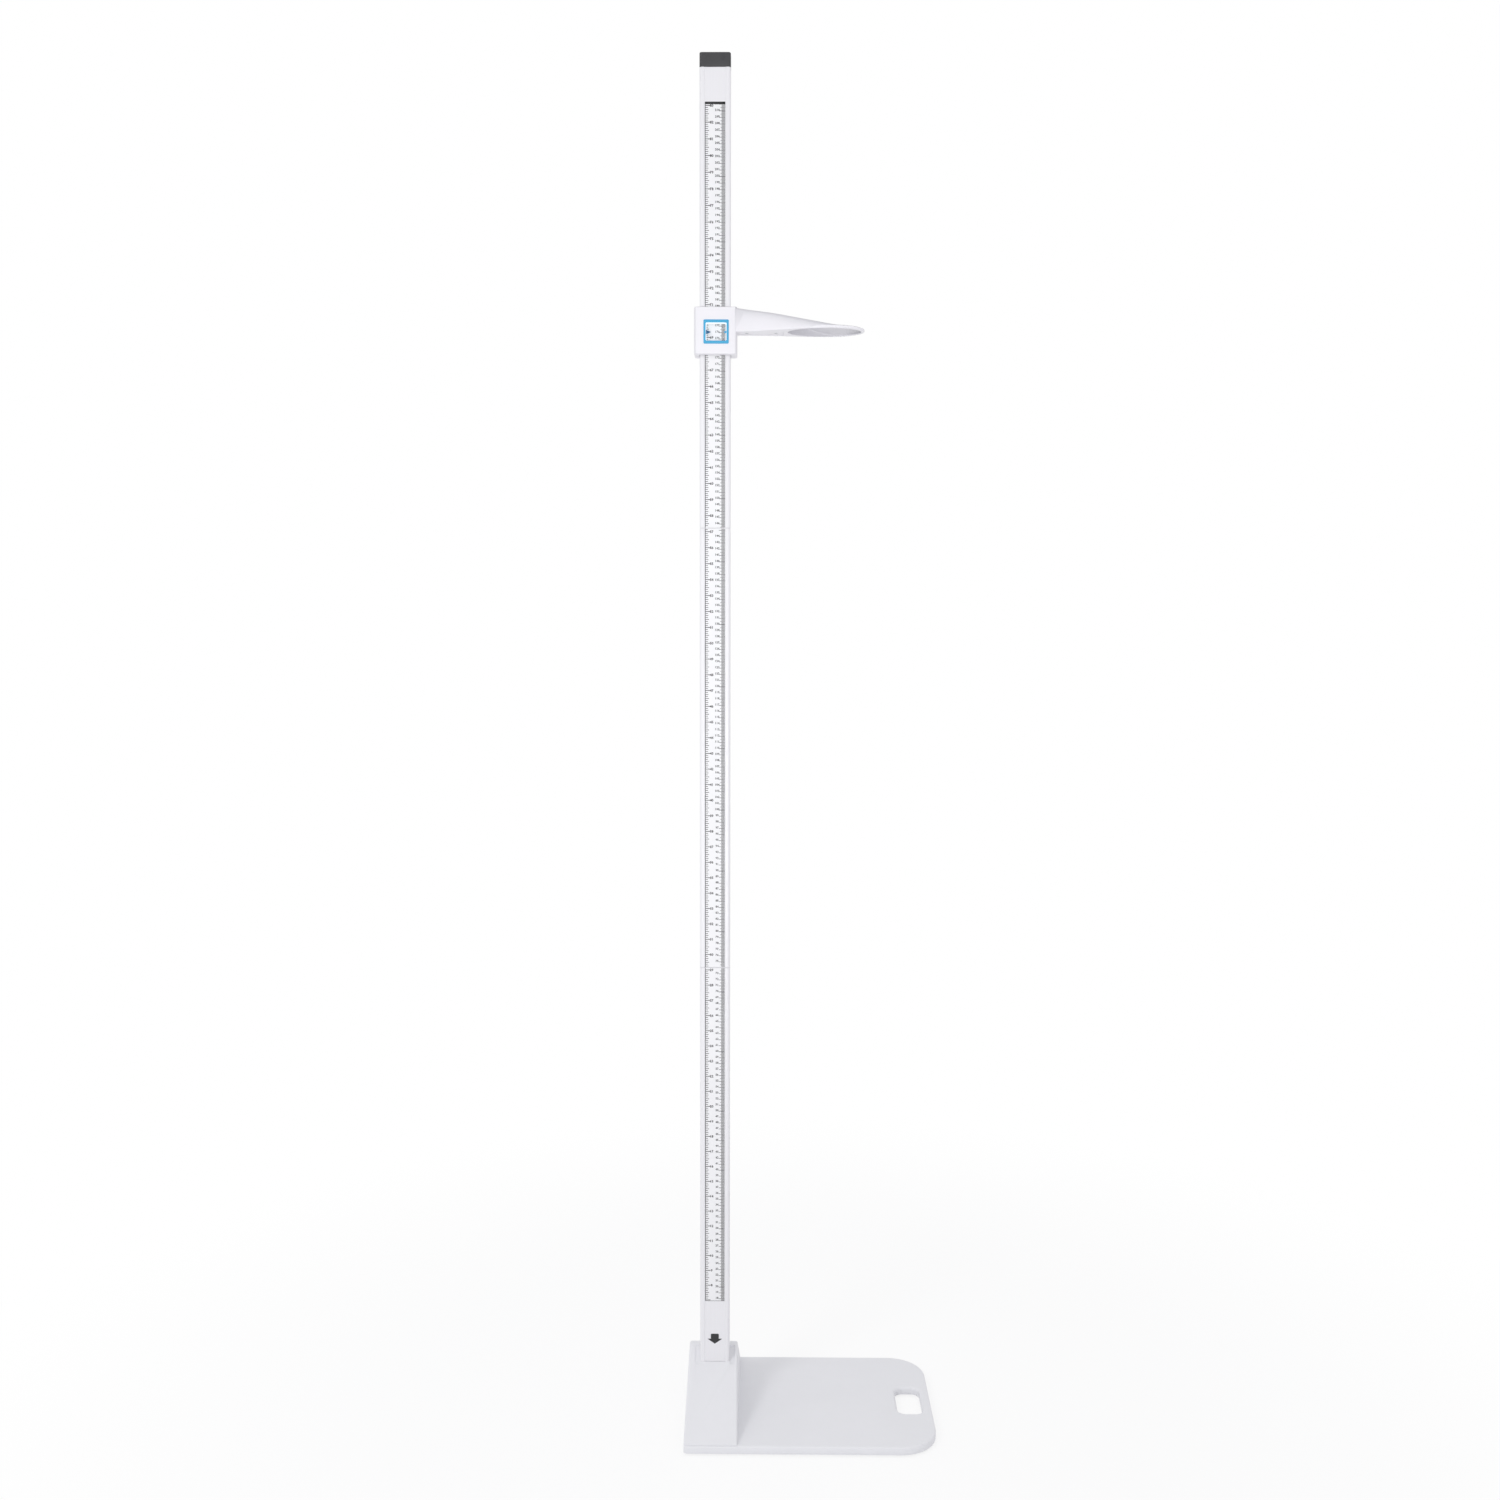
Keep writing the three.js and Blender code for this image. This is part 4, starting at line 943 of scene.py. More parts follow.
# %% Make the cap
cap_round = 0.0011
cap_seat = 0.0004
cap_base = upper_high.z + clearance
cap_head = block(column_width, column_depth, column_corner, cap_base, cap_high.z, steps=8)
round_edges(cap_head, lambda p: near(p.z, cap_high.z), cap_round, steps=4)
round_edges(cap_head, lambda p: near(p.z, cap_base), cap_seat, steps=2)
cap_plug = block(plug_width, plug_depth, plug_corner, cap_low.z, cap_base + cap_round, steps=5)
cap = combine(cap_head, [cap_plug], "UNION")
cap = combine(cap, [plug_bore(cap_low.z - past, cap_base)])
move(cap, x=column_x)
add_piece("column_cap", cap, "upper_column", black_plastic, ["top_cap"])

# %% [markdown]
# ## The printed scale
# The scale is a strip of film in the tubes' channel. Centimetres run up its right side with a tick
# for each millimetre, and inches run up its left side with a tick for each eighth. Both count from
# the platform's top, so a child who stands on it is measured from the soles. A printed mark is flat
# ink: here each tick is one flat face just in front of the film, and each numeral is made once from
# a plain text object and then copied to where it is needed.

# %% Numerals
ink_lift = 0.00005
film_low, film_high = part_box("middle_scale_strip")
film_half = (film_high.x - film_low.x) / 2
ink_y = film_low.y - ink_lift
stroke_growth = 0.035


def make_numeral(character):
    """One numeral as a flat mesh of height 1, its foot at z 0 and its middle at x 0."""
    curve = bpy.data.curves.new("numeral", "FONT")
    curve.body = character
    curve.resolution_u = 2
    curve.offset = stroke_growth
    carrier = bpy.data.objects.new("numeral", curve)
    scene.collection.objects.link(carrier)
    evaluated = carrier.evaluated_get(bpy.context.evaluated_depsgraph_get())
    bm = bmesh.new()
    bm.from_mesh(evaluated.to_mesh())
    evaluated.to_mesh_clear()
    bpy.data.objects.remove(carrier)
    bpy.data.curves.remove(curve)
    bmesh.ops.remove_doubles(bm, verts=bm.verts[:], dist=hair)
    bmesh.ops.dissolve_limit(bm, angle_limit=math.radians(4), verts=bm.verts[:], edges=bm.edges[:])
    bmesh.ops.triangulate(bm, faces=bm.faces[:])
    across = [vert.co.x for vert in bm.verts]
    up = [vert.co.y for vert in bm.verts]
    move(bm, -(min(across) + max(across)) / 2, -min(up))
    tall = max(up) - min(up)
    bmesh.ops.scale(bm, vec=(1 / tall, 1 / tall, 1), verts=bm.verts[:])
    face_front(bm)
    mesh = bpy.data.meshes.new("numeral_" + character)
    bm.to_mesh(mesh)
    bm.free()
    return mesh


numerals = {character: make_numeral(character) for character in "0123456789"}
print("faces per numeral:", {c: len(m.polygons) for c, m in numerals.items()})


# %% Printing tools
def print_mark(bm, left, right, height, thickness, lift=0.0):
    """A flat tick between two distances from the column's middle, at a height."""
    place = (
        Matrix.Translation((column_x + (left + right) / 2, ink_y - lift, height))
        @ Matrix.Rotation(math.pi / 2, 4, "X")
        @ Matrix.Diagonal((right - left, thickness, 1, 1))
    )
    bmesh.ops.create_grid(bm, x_segments=1, y_segments=1, size=0.5, matrix=place)


def print_number(bm, text, foot_z, middle_x, tall, pitch):
    """A number with its numerals set at an even pitch."""
    for index, character in enumerate(text):
        first = len(bm.verts)
        bm.from_mesh(numerals[character])
        bm.verts.ensure_lookup_table()
        fresh = bm.verts[first:]
        bmesh.ops.scale(bm, vec=(tall, 1, tall), verts=fresh)
        shift = (index - (len(text) - 1) / 2) * pitch
        bmesh.ops.translate(bm, vec=(column_x + middle_x + shift, ink_y, foot_z), verts=fresh)


def steps_between(low, high, pitch, free_share):
    """The numbers of the marks on a film; a share of the pitch stays free at both its ends."""
    first = math.ceil((low.z - plate_top) / pitch + free_share)
    last = math.floor((high.z - plate_top) / pitch - free_share)
    return range(first, last + 1)


# %% [markdown]
# The ticks get longer from millimetre to half to whole centimetre, and thicker at the tens, which
# helps the eye to count. The tables say, for each kind of step, how far from the column's middle a
# tick starts or how long it is, and how thick. A mark that would cross a seam or run off the film
# is left out. A black edge runs up the inches' side, and a bar closes the scale at both its ends.

# %% Print the scale on the three films
millimetre = 0.001
eighth_inch = 0.0254 / 8
mm_free_share = 0.4
eighth_free_share = 0.1
mm_starts = {1: 0.0102, 5: 0.0085, 10: 0.0062, 100: 0.0062}
mm_thickness = {1: 0.00052, 5: 0.0006, 10: 0.0007, 100: 0.0009}
eighth_lengths = {1: 0.0046, 2: 0.0054, 4: 0.0064, 8: 0.0088}
eighth_thickness = {1: 0.0009, 2: 0.0009, 4: 0.0009, 8: 0.0011}
cm_number = {"middle_x": 0.0035, "tall": 0.0035, "pitch": 0.0025}
cm_number_drop = 0.0003
inch_number = {"middle_x": -0.0053, "tall": 0.0042, "pitch": 0.0028}
edge_width = 0.001
start_bar = 0.0006
end_bar = 0.0039


def print_scale(film, body):
    low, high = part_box(film)
    bm = bmesh.new()
    for step in steps_between(low, high, millimetre, mm_free_share):
        height = plate_top + step * millimetre
        kind = max(part for part in mm_starts if step % part == 0)
        print_mark(bm, mm_starts[kind], film_half, height, mm_thickness[kind])
        foot_z = height - cm_number_drop
        if kind >= 10 and low.z < foot_z and foot_z + cm_number["tall"] + hair < high.z:
            print_number(bm, str(step // 10), foot_z, **cm_number)
    for step in steps_between(low, high, eighth_inch, eighth_free_share):
        height = plate_top + step * eighth_inch
        kind = max(part for part in eighth_lengths if step % part == 0)
        print_mark(bm, -film_half, eighth_lengths[kind] - film_half, height, eighth_thickness[kind])
        room_needed = inch_number["tall"] / 2 + hair
        if kind == 8 and low.z < height - room_needed and height + room_needed < high.z:
            print_number(bm, str(step // 8), height - inch_number["tall"] / 2, **inch_number)
    print_mark(
        bm, -film_half, edge_width - film_half, (low.z + high.z) / 2, high.z - low.z, lift=ink_lift / 2)
    if body == "lower_column":
        print_mark(bm, -film_half, film_half, low.z + start_bar / 2, start_bar)
    if body == "upper_column":
        print_mark(bm, -film_half, film_half, high.z - end_bar / 2 - ink_lift, end_bar)
    return add_piece(film.replace("strip", "marks"), bm, body, black_ink)


for level in ("lower", "middle", "upper"):
    dress(level + "_scale_strip", scale_film)
    print_scale(level + "_scale_strip", level + "_column")

# %% [markdown]
# ## The arrow below the scale
# A black arrow on the lowest tube points down at the platform, where the scale counts from. Its
# outline is seven corners, and bevelling those corners gives the soft tips of a cut film.

# %% Make the arrow
arrow_low, arrow_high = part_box("arrow_label")
arrow_overhang = 0.0021
arrow_half = (arrow_high.x - arrow_low.x) / 2 + arrow_overhang
stem_half = 0.0066
stem_corner = 0.0018
tip_corner = 0.0004
neck_z = (arrow_low.z + arrow_high.z) / 2
arrow = flat_face([(x, arrow_low.y, z) for x, z in (
    (-stem_half, arrow_high.z), (-stem_half, neck_z), (-arrow_half, neck_z), (0, arrow_low.z),
    (arrow_half, neck_z), (stem_half, neck_z), (stem_half, arrow_high.z),
)])
round_corners(arrow, stem_corner, steps=5, where=lambda p: near(p.z, arrow_high.z))
round_corners(
    arrow, tip_corner, steps=4,
    where=lambda p: near(abs(p.x), arrow_half) or near(p.z, arrow_low.z))
raise_faces(arrow, y=arrow_high.y - arrow_low.y)
move(arrow, x=column_x)
add_piece("start_arrow", arrow, "lower_column", black_ink, ["arrow_label"])

# %% [markdown]
# ## The headpiece
# The front of the housing, the arm and the paddle are one white moulding. The housing is a rounded
# block around the column; the arm leaves its right side, widens in plan to a leaf-shaped paddle and
# thins towards its tip, and the paddle is hollow from below. The arm is drawn as its plan outline
# and raised. Its top face is then inset in small steps for the rounded rim, cut into a net, and laid
# on a ridge that falls away to a thin rim on both sides. A narrow bead runs round its lower edge, a
# flat block of the same plan that reaches a little further out. The hollow's tool is laid on the
# same ridge, one wall thickness lower, so the wall stays even.

# %% Sizes of the headpiece
rest_reading = 1.760
read_z = plate_top + rest_reading
housing_width = 0.068
housing_offset = 0.001
housing_corner = 0.005
housing_round = 0.002
housing_wall = 0.0025
housing_front = -0.021
housing_depth = cover_high.y - housing_front
housing_above = shell_high.z - read_z
housing_below = read_z - shell_low.z
housing_middle = (housing_front + cover_high.y) / 2
column_gap = 0.0008
seam_half = clearance / 2


def housing_block(inset):
    """The housing's outer block, or the space in it when inset by the wall."""
    outline = max(housing_corner - inset, inset / 2)
    bm = block(
        housing_width - 2 * inset, housing_depth - 2 * inset, outline,
        inset - housing_below, housing_above - inset, steps=8)
    if inset == 0:
        round_edges(bm, lambda p: abs(p.z) > housing_below - hair, housing_round, steps=5)
    return move(bm, housing_offset, housing_middle)


def column_way():
    return block(
        column_width + 2 * column_gap, column_depth + 2 * column_gap, column_corner + column_gap,
        -housing_below - past, housing_above + past, steps=6)


# %% The arm's plan
root = housing_offset + housing_width / 2 - housing_wall
neck_front = -0.021
neck_rear = 0.013
neck_straight = 0.045
widest = 0.183
paddle_front = -0.0535
paddle_rear = 0.024
tip = 0.236
swell_shares = (0.36, 0.65)
lean_share = 0.15
nose_share = 0.6
tip_share = 0.5
curve_points = 20
swell_start, swell_end = [neck_straight + share * (widest - neck_straight) for share in swell_shares]
nose_side = widest + nose_share * (tip - widest)
paddle_middle = (paddle_front + paddle_rear) / 2
tip_front = paddle_middle + tip_share * (paddle_front - paddle_middle)
tip_rear = paddle_middle + tip_share * (paddle_rear - paddle_middle)
lean = neck_front + lean_share * (paddle_front - neck_front)
plan_runs = [
    [(neck_straight, neck_front), (swell_start, lean),
     (swell_end, paddle_front), (widest, paddle_front)],
    [(widest, paddle_front), (nose_side, paddle_front), (tip, tip_front), (tip, paddle_middle)],
    [(tip, paddle_middle), (tip, tip_rear), (nose_side, paddle_rear), (widest, paddle_rear)],
    [(widest, paddle_rear), (swell_end, paddle_rear),
     (swell_start, neck_rear), (neck_straight, neck_rear)],
]
plan = [(root, neck_front)]
for run in plan_runs:
    curve = interpolate_bezier(*[Vector(point) for point in run], curve_points)
    plan += [tuple(point) for point in curve[:-1]]
plan += [(neck_straight, neck_rear), (root, neck_rear)]
print("points round the arm's plan:", len(plan))

# %% The arm's top
arm_root_height = 0.0375
rim_height = 0.005
crown_height = 0.0145
crown_y = -0.012
top_softness = 0.0007


def slope_through(*points):
    """Height as a function of x and y on the plane through three points."""
    first, second, third = [Vector(point) for point in points]
    normal = (second - first).cross(third - first)

    def height(x, y):
        return first.z - (normal.x * (x - first.x) + normal.y * (y - first.y)) / normal.z
    return height


front_slope, rear_slope = [
    slope_through(
        (neck_straight, neck_y, arm_root_height), (widest, paddle_y, rim_height),
        (widest, crown_y, crown_height))
    for neck_y, paddle_y in ((neck_front, paddle_front), (neck_rear, paddle_rear))
]


def arm_top(x, y):
    """The arm's height: a ridge that falls to a thin rim on both sides, with its folds softened."""
    share = (x - root) / (tip - root)
    ridge_line = arm_root_height + (rim_height - arm_root_height) * share
    folds = [ridge_line, front_slope(x, y), rear_slope(x, y)]
    lowest = min(folds)
    roof = lowest - top_softness * math.log(sum(math.exp((lowest - z) / top_softness) for z in folds))
    highest = max(roof, rim_height)
    apart = abs(roof - rim_height) / top_softness
    return highest + top_softness * math.log(1 + math.exp(-apart))


def parts_of(faces):
    """Faces with their edges and vertices, each once and always in the same order."""
    return list(dict.fromkeys(item for face in faces for item in (face, *face.edges, *face.verts)))


def crown_top(bm, drop, rounding, steps=6, spacing=0.005):
    """Rounds the rim of a block's top face and lays the face on the arm's top, lowered by drop."""
    top = max(bm.faces, key=lambda face: face.calc_center_median().z)
    lowered = {}
    reached, below = 0, rounding
    for step in range(1, steps + 1):
        quarter = math.pi / 2 * step / steps
        ahead = rounding * (1 - math.cos(quarter))
        ring = bmesh.ops.inset_region(bm, faces=[top], thickness=ahead - reached, use_even_offset=True)
        for vert in {vert for face in ring["faces"] for vert in face.verts} - set(top.verts):
            lowered[vert] = below
        reached, below = ahead, rounding * (1 - math.sin(quarter))
    inside = [top]
    for axis in (Vector((1, 0, 0)), Vector((0, 1, 0))):
        reach = [axis.dot(vert.co) for face in inside for vert in face.verts]
        place = min(reach) + spacing
        while place < max(reach):
            parts = bmesh.ops.bisect_plane(
                bm, geom=parts_of(inside), dist=weld, plane_co=axis * place, plane_no=axis)
            inside = [item for item in parts["geom"] if isinstance(item, bmesh.types.BMFace)]
            place += spacing
    for vert in {vert for face in inside for vert in face.verts} - set(lowered):
        lowered[vert] = 0
    for vert, below in lowered.items():
        vert.co.z = arm_top(vert.co.x, vert.co.y) - drop - below
    return bm


# %% Raise the arm and the bead round its lower edge
arm_top_round = 0.0042
arm_base = 0.0005
arm_blank = 0.03
bead_reach = 0.0008
bead_height = 0.0038
bead_round = 0.001
arm = flat_face([(x, y, arm_base) for x, y in plan])
edge_ring = bmesh.ops.inset_region(arm, faces=arm.faces[:], thickness=bead_reach, use_even_offset=True)
bmesh.ops.delete(arm, geom=edge_ring["faces"], context="FACES")
raise_faces(arm, z=arm_blank)
crown_top(arm, 0, arm_top_round)
bead = raise_faces(flat_face([(x, y, 0) for x, y in plan]), z=bead_height)
round_edges(bead, lambda p: p.x > root + 10 * hair, bead_round, steps=4, least=45)
print("the arm has", len(arm.faces), "faces and its bead", len(bead.faces))

# %% Hollow shapes
hollow_x = 0.173
hollow_y = -0.0145
hollow_length = 0.058
hollow_width = 0.0345
hollow_fillet = 0.0024
under_arm = 0.005
arm_wall = 0.0025
neck_cover_length = neck_high.x - neck_low.x
neck_cover_width = neck_high.y - neck_low.y
neck_cover_x = (neck_low.x + neck_high.x) / 2 - column_x
neck_cover_y = (neck_low.y + neck_high.y) / 2
neck_cover_corner = 0.004
neck_recess_height = 0.0027


def hollow_tool():
    bm = bmesh.new()
    bmesh.ops.create_circle(bm, cap_ends=True, segments=72, radius=1)
    bmesh.ops.scale(bm, vec=(hollow_length, hollow_width, 1), verts=bm.verts[:])
    raise_faces(bm, z=arm_blank + under_arm)
    move(bm, hollow_x, hollow_y, -under_arm)
    return crown_top(bm, arm_wall, hollow_fillet)


def neck_recess():
    bm = block(
        neck_cover_length + 2 * clearance, neck_cover_width + 2 * clearance,
        neck_cover_corner + clearance, -under_arm, neck_recess_height, steps=8)
    return move(bm, neck_cover_x, neck_cover_y)


# %% Window hole and boss places
frame_low, frame_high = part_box("window_frame")
frame_width = frame_high.x - frame_low.x
frame_height = frame_high.z - frame_low.z
flange_inset = 0.0023
frame_corner = 0.002
window_offset = 0.002
window_reach = 0.006
boss_width = 0.0049
boss_height = 0.006
boss_rise = 0.020
boss_x = housing_width / 2 - housing_wall - boss_width / 2


def front_block(width, height, front, rear):
    """A block with the frame's corners whose outline faces the front."""
    return face_front(block(width, height, frame_corner, -rear, -front, steps=6))


def window_tool():
    bm = front_block(
        frame_width - 2 * flange_inset + 2 * clearance, frame_height - 2 * flange_inset + 2 * clearance,
        housing_front - past, housing_front + window_reach)
    return move(bm, window_offset)


def bosses(front, rear):
    """The four blocks inside the housing that its screws go into."""
    return [
        bar(boss_width + housing_wall, rear - front, boss_height,
            housing_offset + side * (boss_x + housing_wall / 2), (front + rear) / 2, rise)
        for side in (-1, 1) for rise in (-boss_rise, boss_rise)
    ]


# %% Make the front shell
ample = 0.2
rear_reach = 0.06


def half_space(side):
    """A block larger than the housing, in front of its seam (side -1) or behind it (side 1)."""
    return bar(5 * ample, ample, 5 * ample, y=side * (ample / 2 + seam_half))


shell = combine(housing_block(0), [half_space(-1)], "INTERSECT")
shell = combine(shell, [arm, bead], "UNION")
cavity = combine(housing_block(housing_wall), bosses(housing_front, -seam_half))
behind = bar(
    housing_width + 2 * clearance, rear_reach, ample, housing_offset, rear_reach / 2 - seam_half)
shell = combine(shell, [cavity, column_way(), behind])
shell = combine(shell, [hollow_tool(), neck_recess(), window_tool()])
print("the shell has", len(shell.faces), "faces")

# %% [markdown]
# The painted shade in the hollow and on the arm's wall is marked now. Inside the hollow the painted
# shade grows towards the tip, and the housing's roundings get a little of it. The wall's painted shade
# grows from the bead to the top edge, so the wall is first cut along three lines that follow the
# edge, which gives it vertices to carry the change.

# %% Mark the painted shade of the hollow and the roundings
joint_reach = 0.004
hollow_margin = 1.01
# Shares of painted shade: in the hollow, more towards its tip, and on the housing's front roundings.
hollow_shade = 0.35
tip_shade = 0.42
tip_shade_start = 0.6
rounding_shade = 0.16
least_slant, most_slant = 0.2, 0.95


def in_hollow(place):
    across = math.hypot((place.x - hollow_x) / hollow_length, (place.y - hollow_y) / hollow_width)
    return across < hollow_margin and place.z < arm_top(place.x, place.y) - arm_wall / 2


# Painted shade: faces in the hollow, darker towards the tip, and on the housing's roundings.
face_shade_mark = shell.faces.layers.float.new("face_painted_shade")
for face in shell.faces:
    place = face.calc_center_median()
    if in_hollow(place) and place.z > arm_base:
        along = (place.x - hollow_x) / hollow_length
        face[face_shade_mark] = hollow_shade + tip_shade * max(0, along - tip_shade_start) / (1 - tip_shade_start)
    elif (place.x < root + joint_reach and place.y < housing_front + housing_corner
          and least_slant < -face.normal.y < most_slant):
        face[face_shade_mark] = rounding_shade
# The count printed is of the faces that carry painted shade.
print("faces with the raw skin:", sum(face[face_shade_mark] > 0 for face in shell.faces))

# %% Mark the painted shade on the arm's upper wall
wall_cuts = (0.0065, 0.0095, 0.014)
neck_band = 0.006
# Shares of painted shade on the arm: a little all over above the bead, and more near the front wall's top
# edge.
wall_shade = 0.09
top_edge_shade = 0.38
wall_facing = -0.25
vert_facing = -0.1
top_fall = Vector((rim_height - arm_root_height, 0, root - tip)).normalized()
for below in wall_cuts:
    on_wall = [
        face for face in shell.faces
        if face.normal.y < wall_facing and all(vert.co.x > root + joint_reach for vert in face.verts)
    ]
    bmesh.ops.bisect_plane(
        shell, geom=parts_of(on_wall), dist=weld,
        plane_co=(root, 0, arm_root_height - below), plane_no=top_fall)
shell.normal_update()
# Painted shade: the arm above its bead is a little darker than the housing, and its front wall darkens
# further up to its top edge.
wall_shade_mark = shell.verts.layers.float.new("wall_painted_shade")
for vert in shell.verts:
    depth = arm_top(vert.co.x, vert.co.y) - vert.co.z
    at_joint = vert.co.x > root - hair and vert.co.y < neck_front + neck_band
    on_arm = vert.co.x > root + joint_reach or at_joint
    if on_arm and not in_hollow(vert.co) and vert.co.z > bead_height + hair / 2:
        rise = max(0, 1 - depth / max(wall_cuts)) if vert.normal.y < vert_facing else 0
        vert[wall_shade_mark] = wall_shade + top_edge_shade * rise ** 1.5
print("vertices on the upper wall:", sum(vert[wall_shade_mark] > 0 for vert in shell.verts))
move(shell, column_x, 0, read_z)
add_piece(
    "headpiece_shell", shell, "headpiece", headpiece_plastic,
    ["headpiece_front_shell"])

# %% [markdown]
# ## Rear cover and neck cover
# The rear cover is the other half of the same housing block, so it's cut from the same shape on the
# far side of the seam. Its four screws sit in countersunk holes. A small plate closes the arm's neck
# from below; its two screws are the dark marks seen under the neck.

# %% Make the rear cover
screw_well = 0.0024
shank_hole = 0.0015
head_depth = 0.0016
seam_edge = 0.00025
outer_band = 0.0005
inner_band = 0.004
screw_places = [
    (housing_offset + side * boss_x, rise) for side in (-1, 1) for rise in (-boss_rise, boss_rise)
]


def to_side(place):
    """How far a point is from the housing's nearer side wall."""
    return housing_width / 2 - abs(place.x - housing_offset)


rear_cover = combine(housing_block(0), [half_space(1)], "INTERSECT")
rear_cavity = combine(housing_block(housing_wall), bosses(seam_half, cover_high.y - housing_wall / 2))
wells = [
    rod_behind(screw_well + clearance, x, z, cover_high.y - head_depth - clearance, cover_high.y + past)
    for x, z in screw_places
]
shafts = [rod_behind(shank_hole, x, z, 0, cover_high.y + past) for x, z in screw_places]
rear_cover = combine(rear_cover, [rear_cavity, column_way(), *wells, *shafts])
round_edges(rear_cover, lambda p: near(p.y, seam_half) and to_side(p) < outer_band, seam_edge, steps=1)
round_edges(rear_cover, lambda p: near(p.y, cover_high.y) and to_side(p) > inner_band, seam_edge, steps=2)
move(rear_cover, column_x, 0, read_z)
add_piece(
    "headpiece_cover", rear_cover, "headpiece", headpiece_plastic,
    ["headpiece_rear_cover"])

# %% Make the neck cover
neck_screw_inset = 0.012
neck_rim = 0.0004
neck_base = neck_low.z - read_z
neck_plate = block(
    neck_cover_length, neck_cover_width, neck_cover_corner, neck_base, neck_high.z - read_z, steps=8)
round_edges(neck_plate, lambda p: near(p.z, neck_base), neck_rim, steps=3)
move(neck_plate, neck_cover_x, neck_cover_y)
neck_wells = [
    rod(small_head + clearance, -past, neck_base + head_depth,
        neck_cover_x + side * (neck_cover_length / 2 - neck_screw_inset), neck_cover_y)
    for side in (-1, 1)
]
neck_plate = combine(neck_plate, neck_wells)
move(neck_plate, column_x, 0, read_z)
add_piece(
    "arm_neck_cover", neck_plate, "headpiece", headpiece_plastic, ["neck_cover"])

# %% [markdown]
# ## The reading window
# A blue frame with a thin flange is pressed into the housing's front. Its collar behind the flange
# is pale, narrows towards the scale and glows faintly; the glow is painted light, and with the
# narrowing it keeps the reading bright. Two pointers mark the reading, a large one for inches and a
# small one for centimetres, close to the scale so that they are read without parallax. A clear lens
# closes the frame.

# %% Make the window frame and its collar
opening_width = 0.033
opening_height = 0.028
frame_rim = 0.0005
collar_taper = 0.0011
lens_lip = 0.0001
lens_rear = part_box("window_lens")[1].y


def opening_block(front, rear):
    return front_block(opening_width, opening_height, front, rear)


def on_opening(place):
    in_width = abs(place.x) < opening_width / 2 + hair
    return near(place.y, frame_low.y) and in_width and abs(place.z) < opening_height / 2 + hair


window = front_block(frame_width, frame_height, frame_low.y, housing_front)
round_edges(window, lambda p: near(p.y, frame_low.y), frame_rim, steps=3)
window = combine(window, [opening_block(frame_low.y - past, frame_high.y + past)])
round_edges(window, on_opening, frame_rim, steps=3)
move(window, column_x + window_offset, 0, read_z)
add_piece("reading_window", window, "headpiece", blue_plastic, ["window_frame"])

# The collar's finish glows faintly, which is painted light for the window's inside.
collar = front_block(
    frame_width - 2 * flange_inset, frame_height - 2 * flange_inset,
    housing_front + seam_half, frame_high.y)
taper_cut = opening_block(lens_rear - clearance, frame_high.y + clearance)
for vert in taper_cut.verts:
    narrowing = collar_taper if vert.co.y > lens_rear else lens_lip
    vert.co.x -= math.copysign(narrowing, vert.co.x)
    vert.co.z -= math.copysign(narrowing, vert.co.z)
collar = combine(collar, [opening_block(frame_low.y, lens_rear), taper_cut])
move(collar, column_x + window_offset, 0, read_z)
add_piece("window_collar", collar, "headpiece", pale_glowing_plastic)
dress("window_lens", clear_window)

# %% Make the two pointers
pointer_thickness = 0.0022
pointers = {
    "inch_pointer": (1, 0.0078, 0.007, deep_blue_plastic),
    "centimetre_pointer": (-1, 0.0052, 0.0045, blue_plastic),
}


def pointer(side, reach, height):
    """A triangular pointer on the frame's left (1) or right (-1) inner wall."""
    wall = -side * opening_width / 2
    foot_x = wall - side * clearance
    bm = flat_face([(wall + side * reach, 0, 0), (foot_x, height / 2, 0), (foot_x, -height / 2, 0)])
    raise_faces(bm, z=pointer_thickness)
    return move(face_front(bm), y=frame_high.y)


for name, (side, reach, height, finish) in pointers.items():
    reader = move(pointer(side, reach, height), column_x + window_offset, 0, read_z)
    add_piece(name, reader, "headpiece", finish)

# %% [markdown]
# ## Screws and feet
# Every screw that can be seen has a low crowned head with a cross recess. A screw is a body of
# revolution, so half of its outline is spun round, and two crossed bars cut the recess. The rubber
# feet are spun too, with a groove round the sole and a well for their screw.


# %% Spin a profile and make the screws
def spun(profile, steps):
    """A closed body from an outline of (radius, height)."""
    bm = bmesh.new()
    verts = [bm.verts.new((r, 0, z)) for r, z in profile]
    edges = [bm.edges.new(pair) for pair in zip(verts, verts[1:])]
    bmesh.ops.spin(
        bm, geom=verts + edges, cent=(0, 0, 0), axis=(0, 0, 1), angle=math.tau, steps=steps,
        use_merge=True)
    bmesh.ops.remove_doubles(bm, verts=bm.verts[:], dist=weld)
    bmesh.ops.recalc_face_normals(bm, faces=bm.faces[:])
    return bm


# Both outlines run down from the top, as shares of the radius and of the height.
head_outline = [(0, 0), (0.35, 0.04), (0.7, 0.15), (0.92, 0.3), (1, 0.42), (1, 0.92), (0.97, 1)]
shank_outline = [(1, 0), (1, 0.92), (0.6, 1), (0, 1)]
recess_reach = 0.95
recess_width = 0.2
recess_depth = 0.9


def screw(head, shank, head_height, length):
    """A screw whose head is up, with the middle of the head's top at the origin."""
    profile = [(out * head, -down * head_height) for out, down in head_outline]
    profile += [(out * shank, -head_height - down * length) for out, down in shank_outline]
    bm = spun(profile, 32)
    recess = bar(recess_reach * head, recess_width * head, recess_depth * head_height)
    across = bar(recess_width * head, recess_reach * head, recess_depth * head_height)
    return combine(bm, [combine(recess, [across], "UNION")])


def add_screw(node, body, facing, sizes, angle):
    """A screw that faces along one of the axes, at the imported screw's place, turned by an angle."""
    low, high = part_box(node)
    axis = Vector(facing)
    bm = turn(screw(**sizes), Matrix.Rotation(angle, 3, "Z"))
    turn(bm, axis.to_track_quat("Z", "Y").to_matrix())
    half_length = (sizes["head_height"] + sizes["length"]) / 2
    move(bm, *((low + high) / 2 + axis * half_length))
    add_piece(node + "_dressed", bm, body, screw_steel, [node])


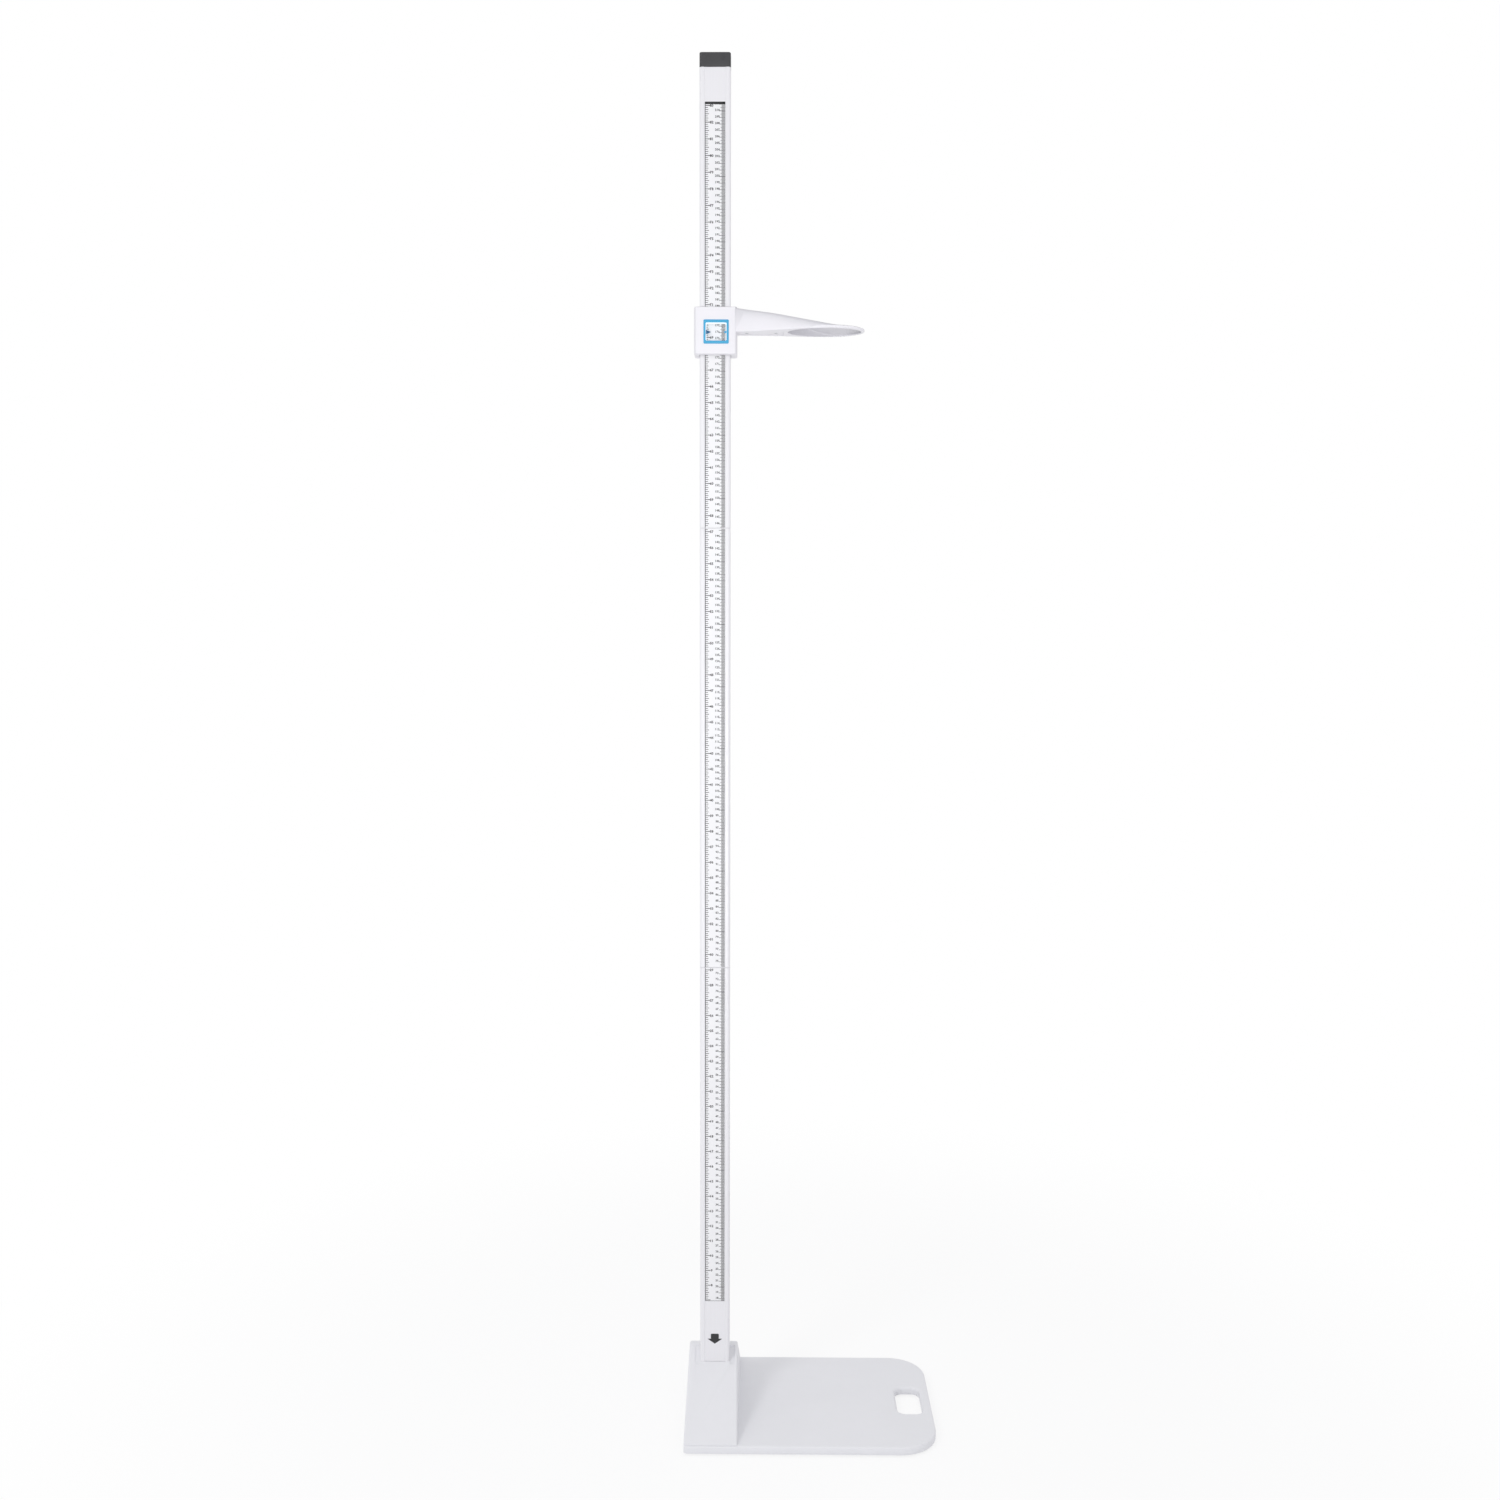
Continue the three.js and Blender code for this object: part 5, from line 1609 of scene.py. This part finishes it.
rearward, downward = (0, 1, 0), (0, 0, -1)
small_screw = {"head": 0.0034, "shank": 0.0016, "head_height": 0.0016, "length": 0.006}
housing_screw = {"head": 0.0024, "shank": 0.0012, "head_height": 0.0016, "length": 0.026}
foot_screw = {"head": 0.004, "shank": 0.002, "head_height": 0.0016, "length": 0.009}
for index in (1, 2):
    add_screw(f"column_foot_screw_{index}", "lower_column", rearward, small_screw, 0.4 * index)
    add_screw(f"lower_joiner_screw_{index}", "lower_column", rearward, small_screw, 0.9 - 0.5 * index)
    add_screw(f"upper_joiner_screw_{index}", "middle_column", rearward, small_screw, 0.2 + 0.7 * index)
    add_screw(f"neck_cover_screw_{index}", "headpiece", downward, small_screw, 0.5 * index)
for index in (1, 2, 3, 4):
    add_screw(f"housing_screw_{index}", "headpiece", rearward, housing_screw, 0.6 * index)
    add_screw(f"foot_screw_{index}", "base", downward, foot_screw, 0.8 * index)

# %% Make the feet
foot_radius = 0.010
foot_height = 0.003
foot_bore = 0.0023
foot_well = 0.0043
well_depth = 0.002
soft = 0.0003
edge_in = 0.0002
sole_in = 0.0008
sole_rise = 0.0007
sole_soft = 0.00025
groove_radius = 0.0072
groove_half = 0.0006
for index in (1, 2, 3, 4):
    low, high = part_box(f"foot_{index}")
    pad = spun([
        (foot_bore, foot_height), (foot_radius - edge_in, foot_height), (foot_radius, foot_height - soft),
        (foot_radius, sole_rise), (foot_radius - edge_in, sole_soft), (foot_radius - sole_in, 0),
        (groove_radius + groove_half, 0), (groove_radius + groove_half - soft, soft),
        (groove_radius - groove_half + soft, soft), (groove_radius - groove_half, 0),
        (foot_well + soft, 0), (foot_well, soft), (foot_well, well_depth), (foot_bore, well_depth),
        (foot_bore, foot_height),
    ], 48)
    move(pad, (low.x + high.x) / 2, (low.y + high.y) / 2)
    add_piece(f"rubber_foot_{index}", pad, "base", foot_rubber, [f"foot_{index}"])

# %% [markdown]
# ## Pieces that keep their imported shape
# Bushes, the spring, the pad and hidden screws are right as they are and only need their finish.

# %% Dress the remaining pieces
for index in (1, 2, 3, 4):
    dress(f"socket_screw_{index}", screw_steel)
    dress(f"holder_screw_{index}", screw_steel)
dress("upper_slide_bush", bush_plastic)
dress("lower_slide_bush", bush_plastic)
dress("brake_pad", brake_felt)
dress("brake_spring", sheet_steel)
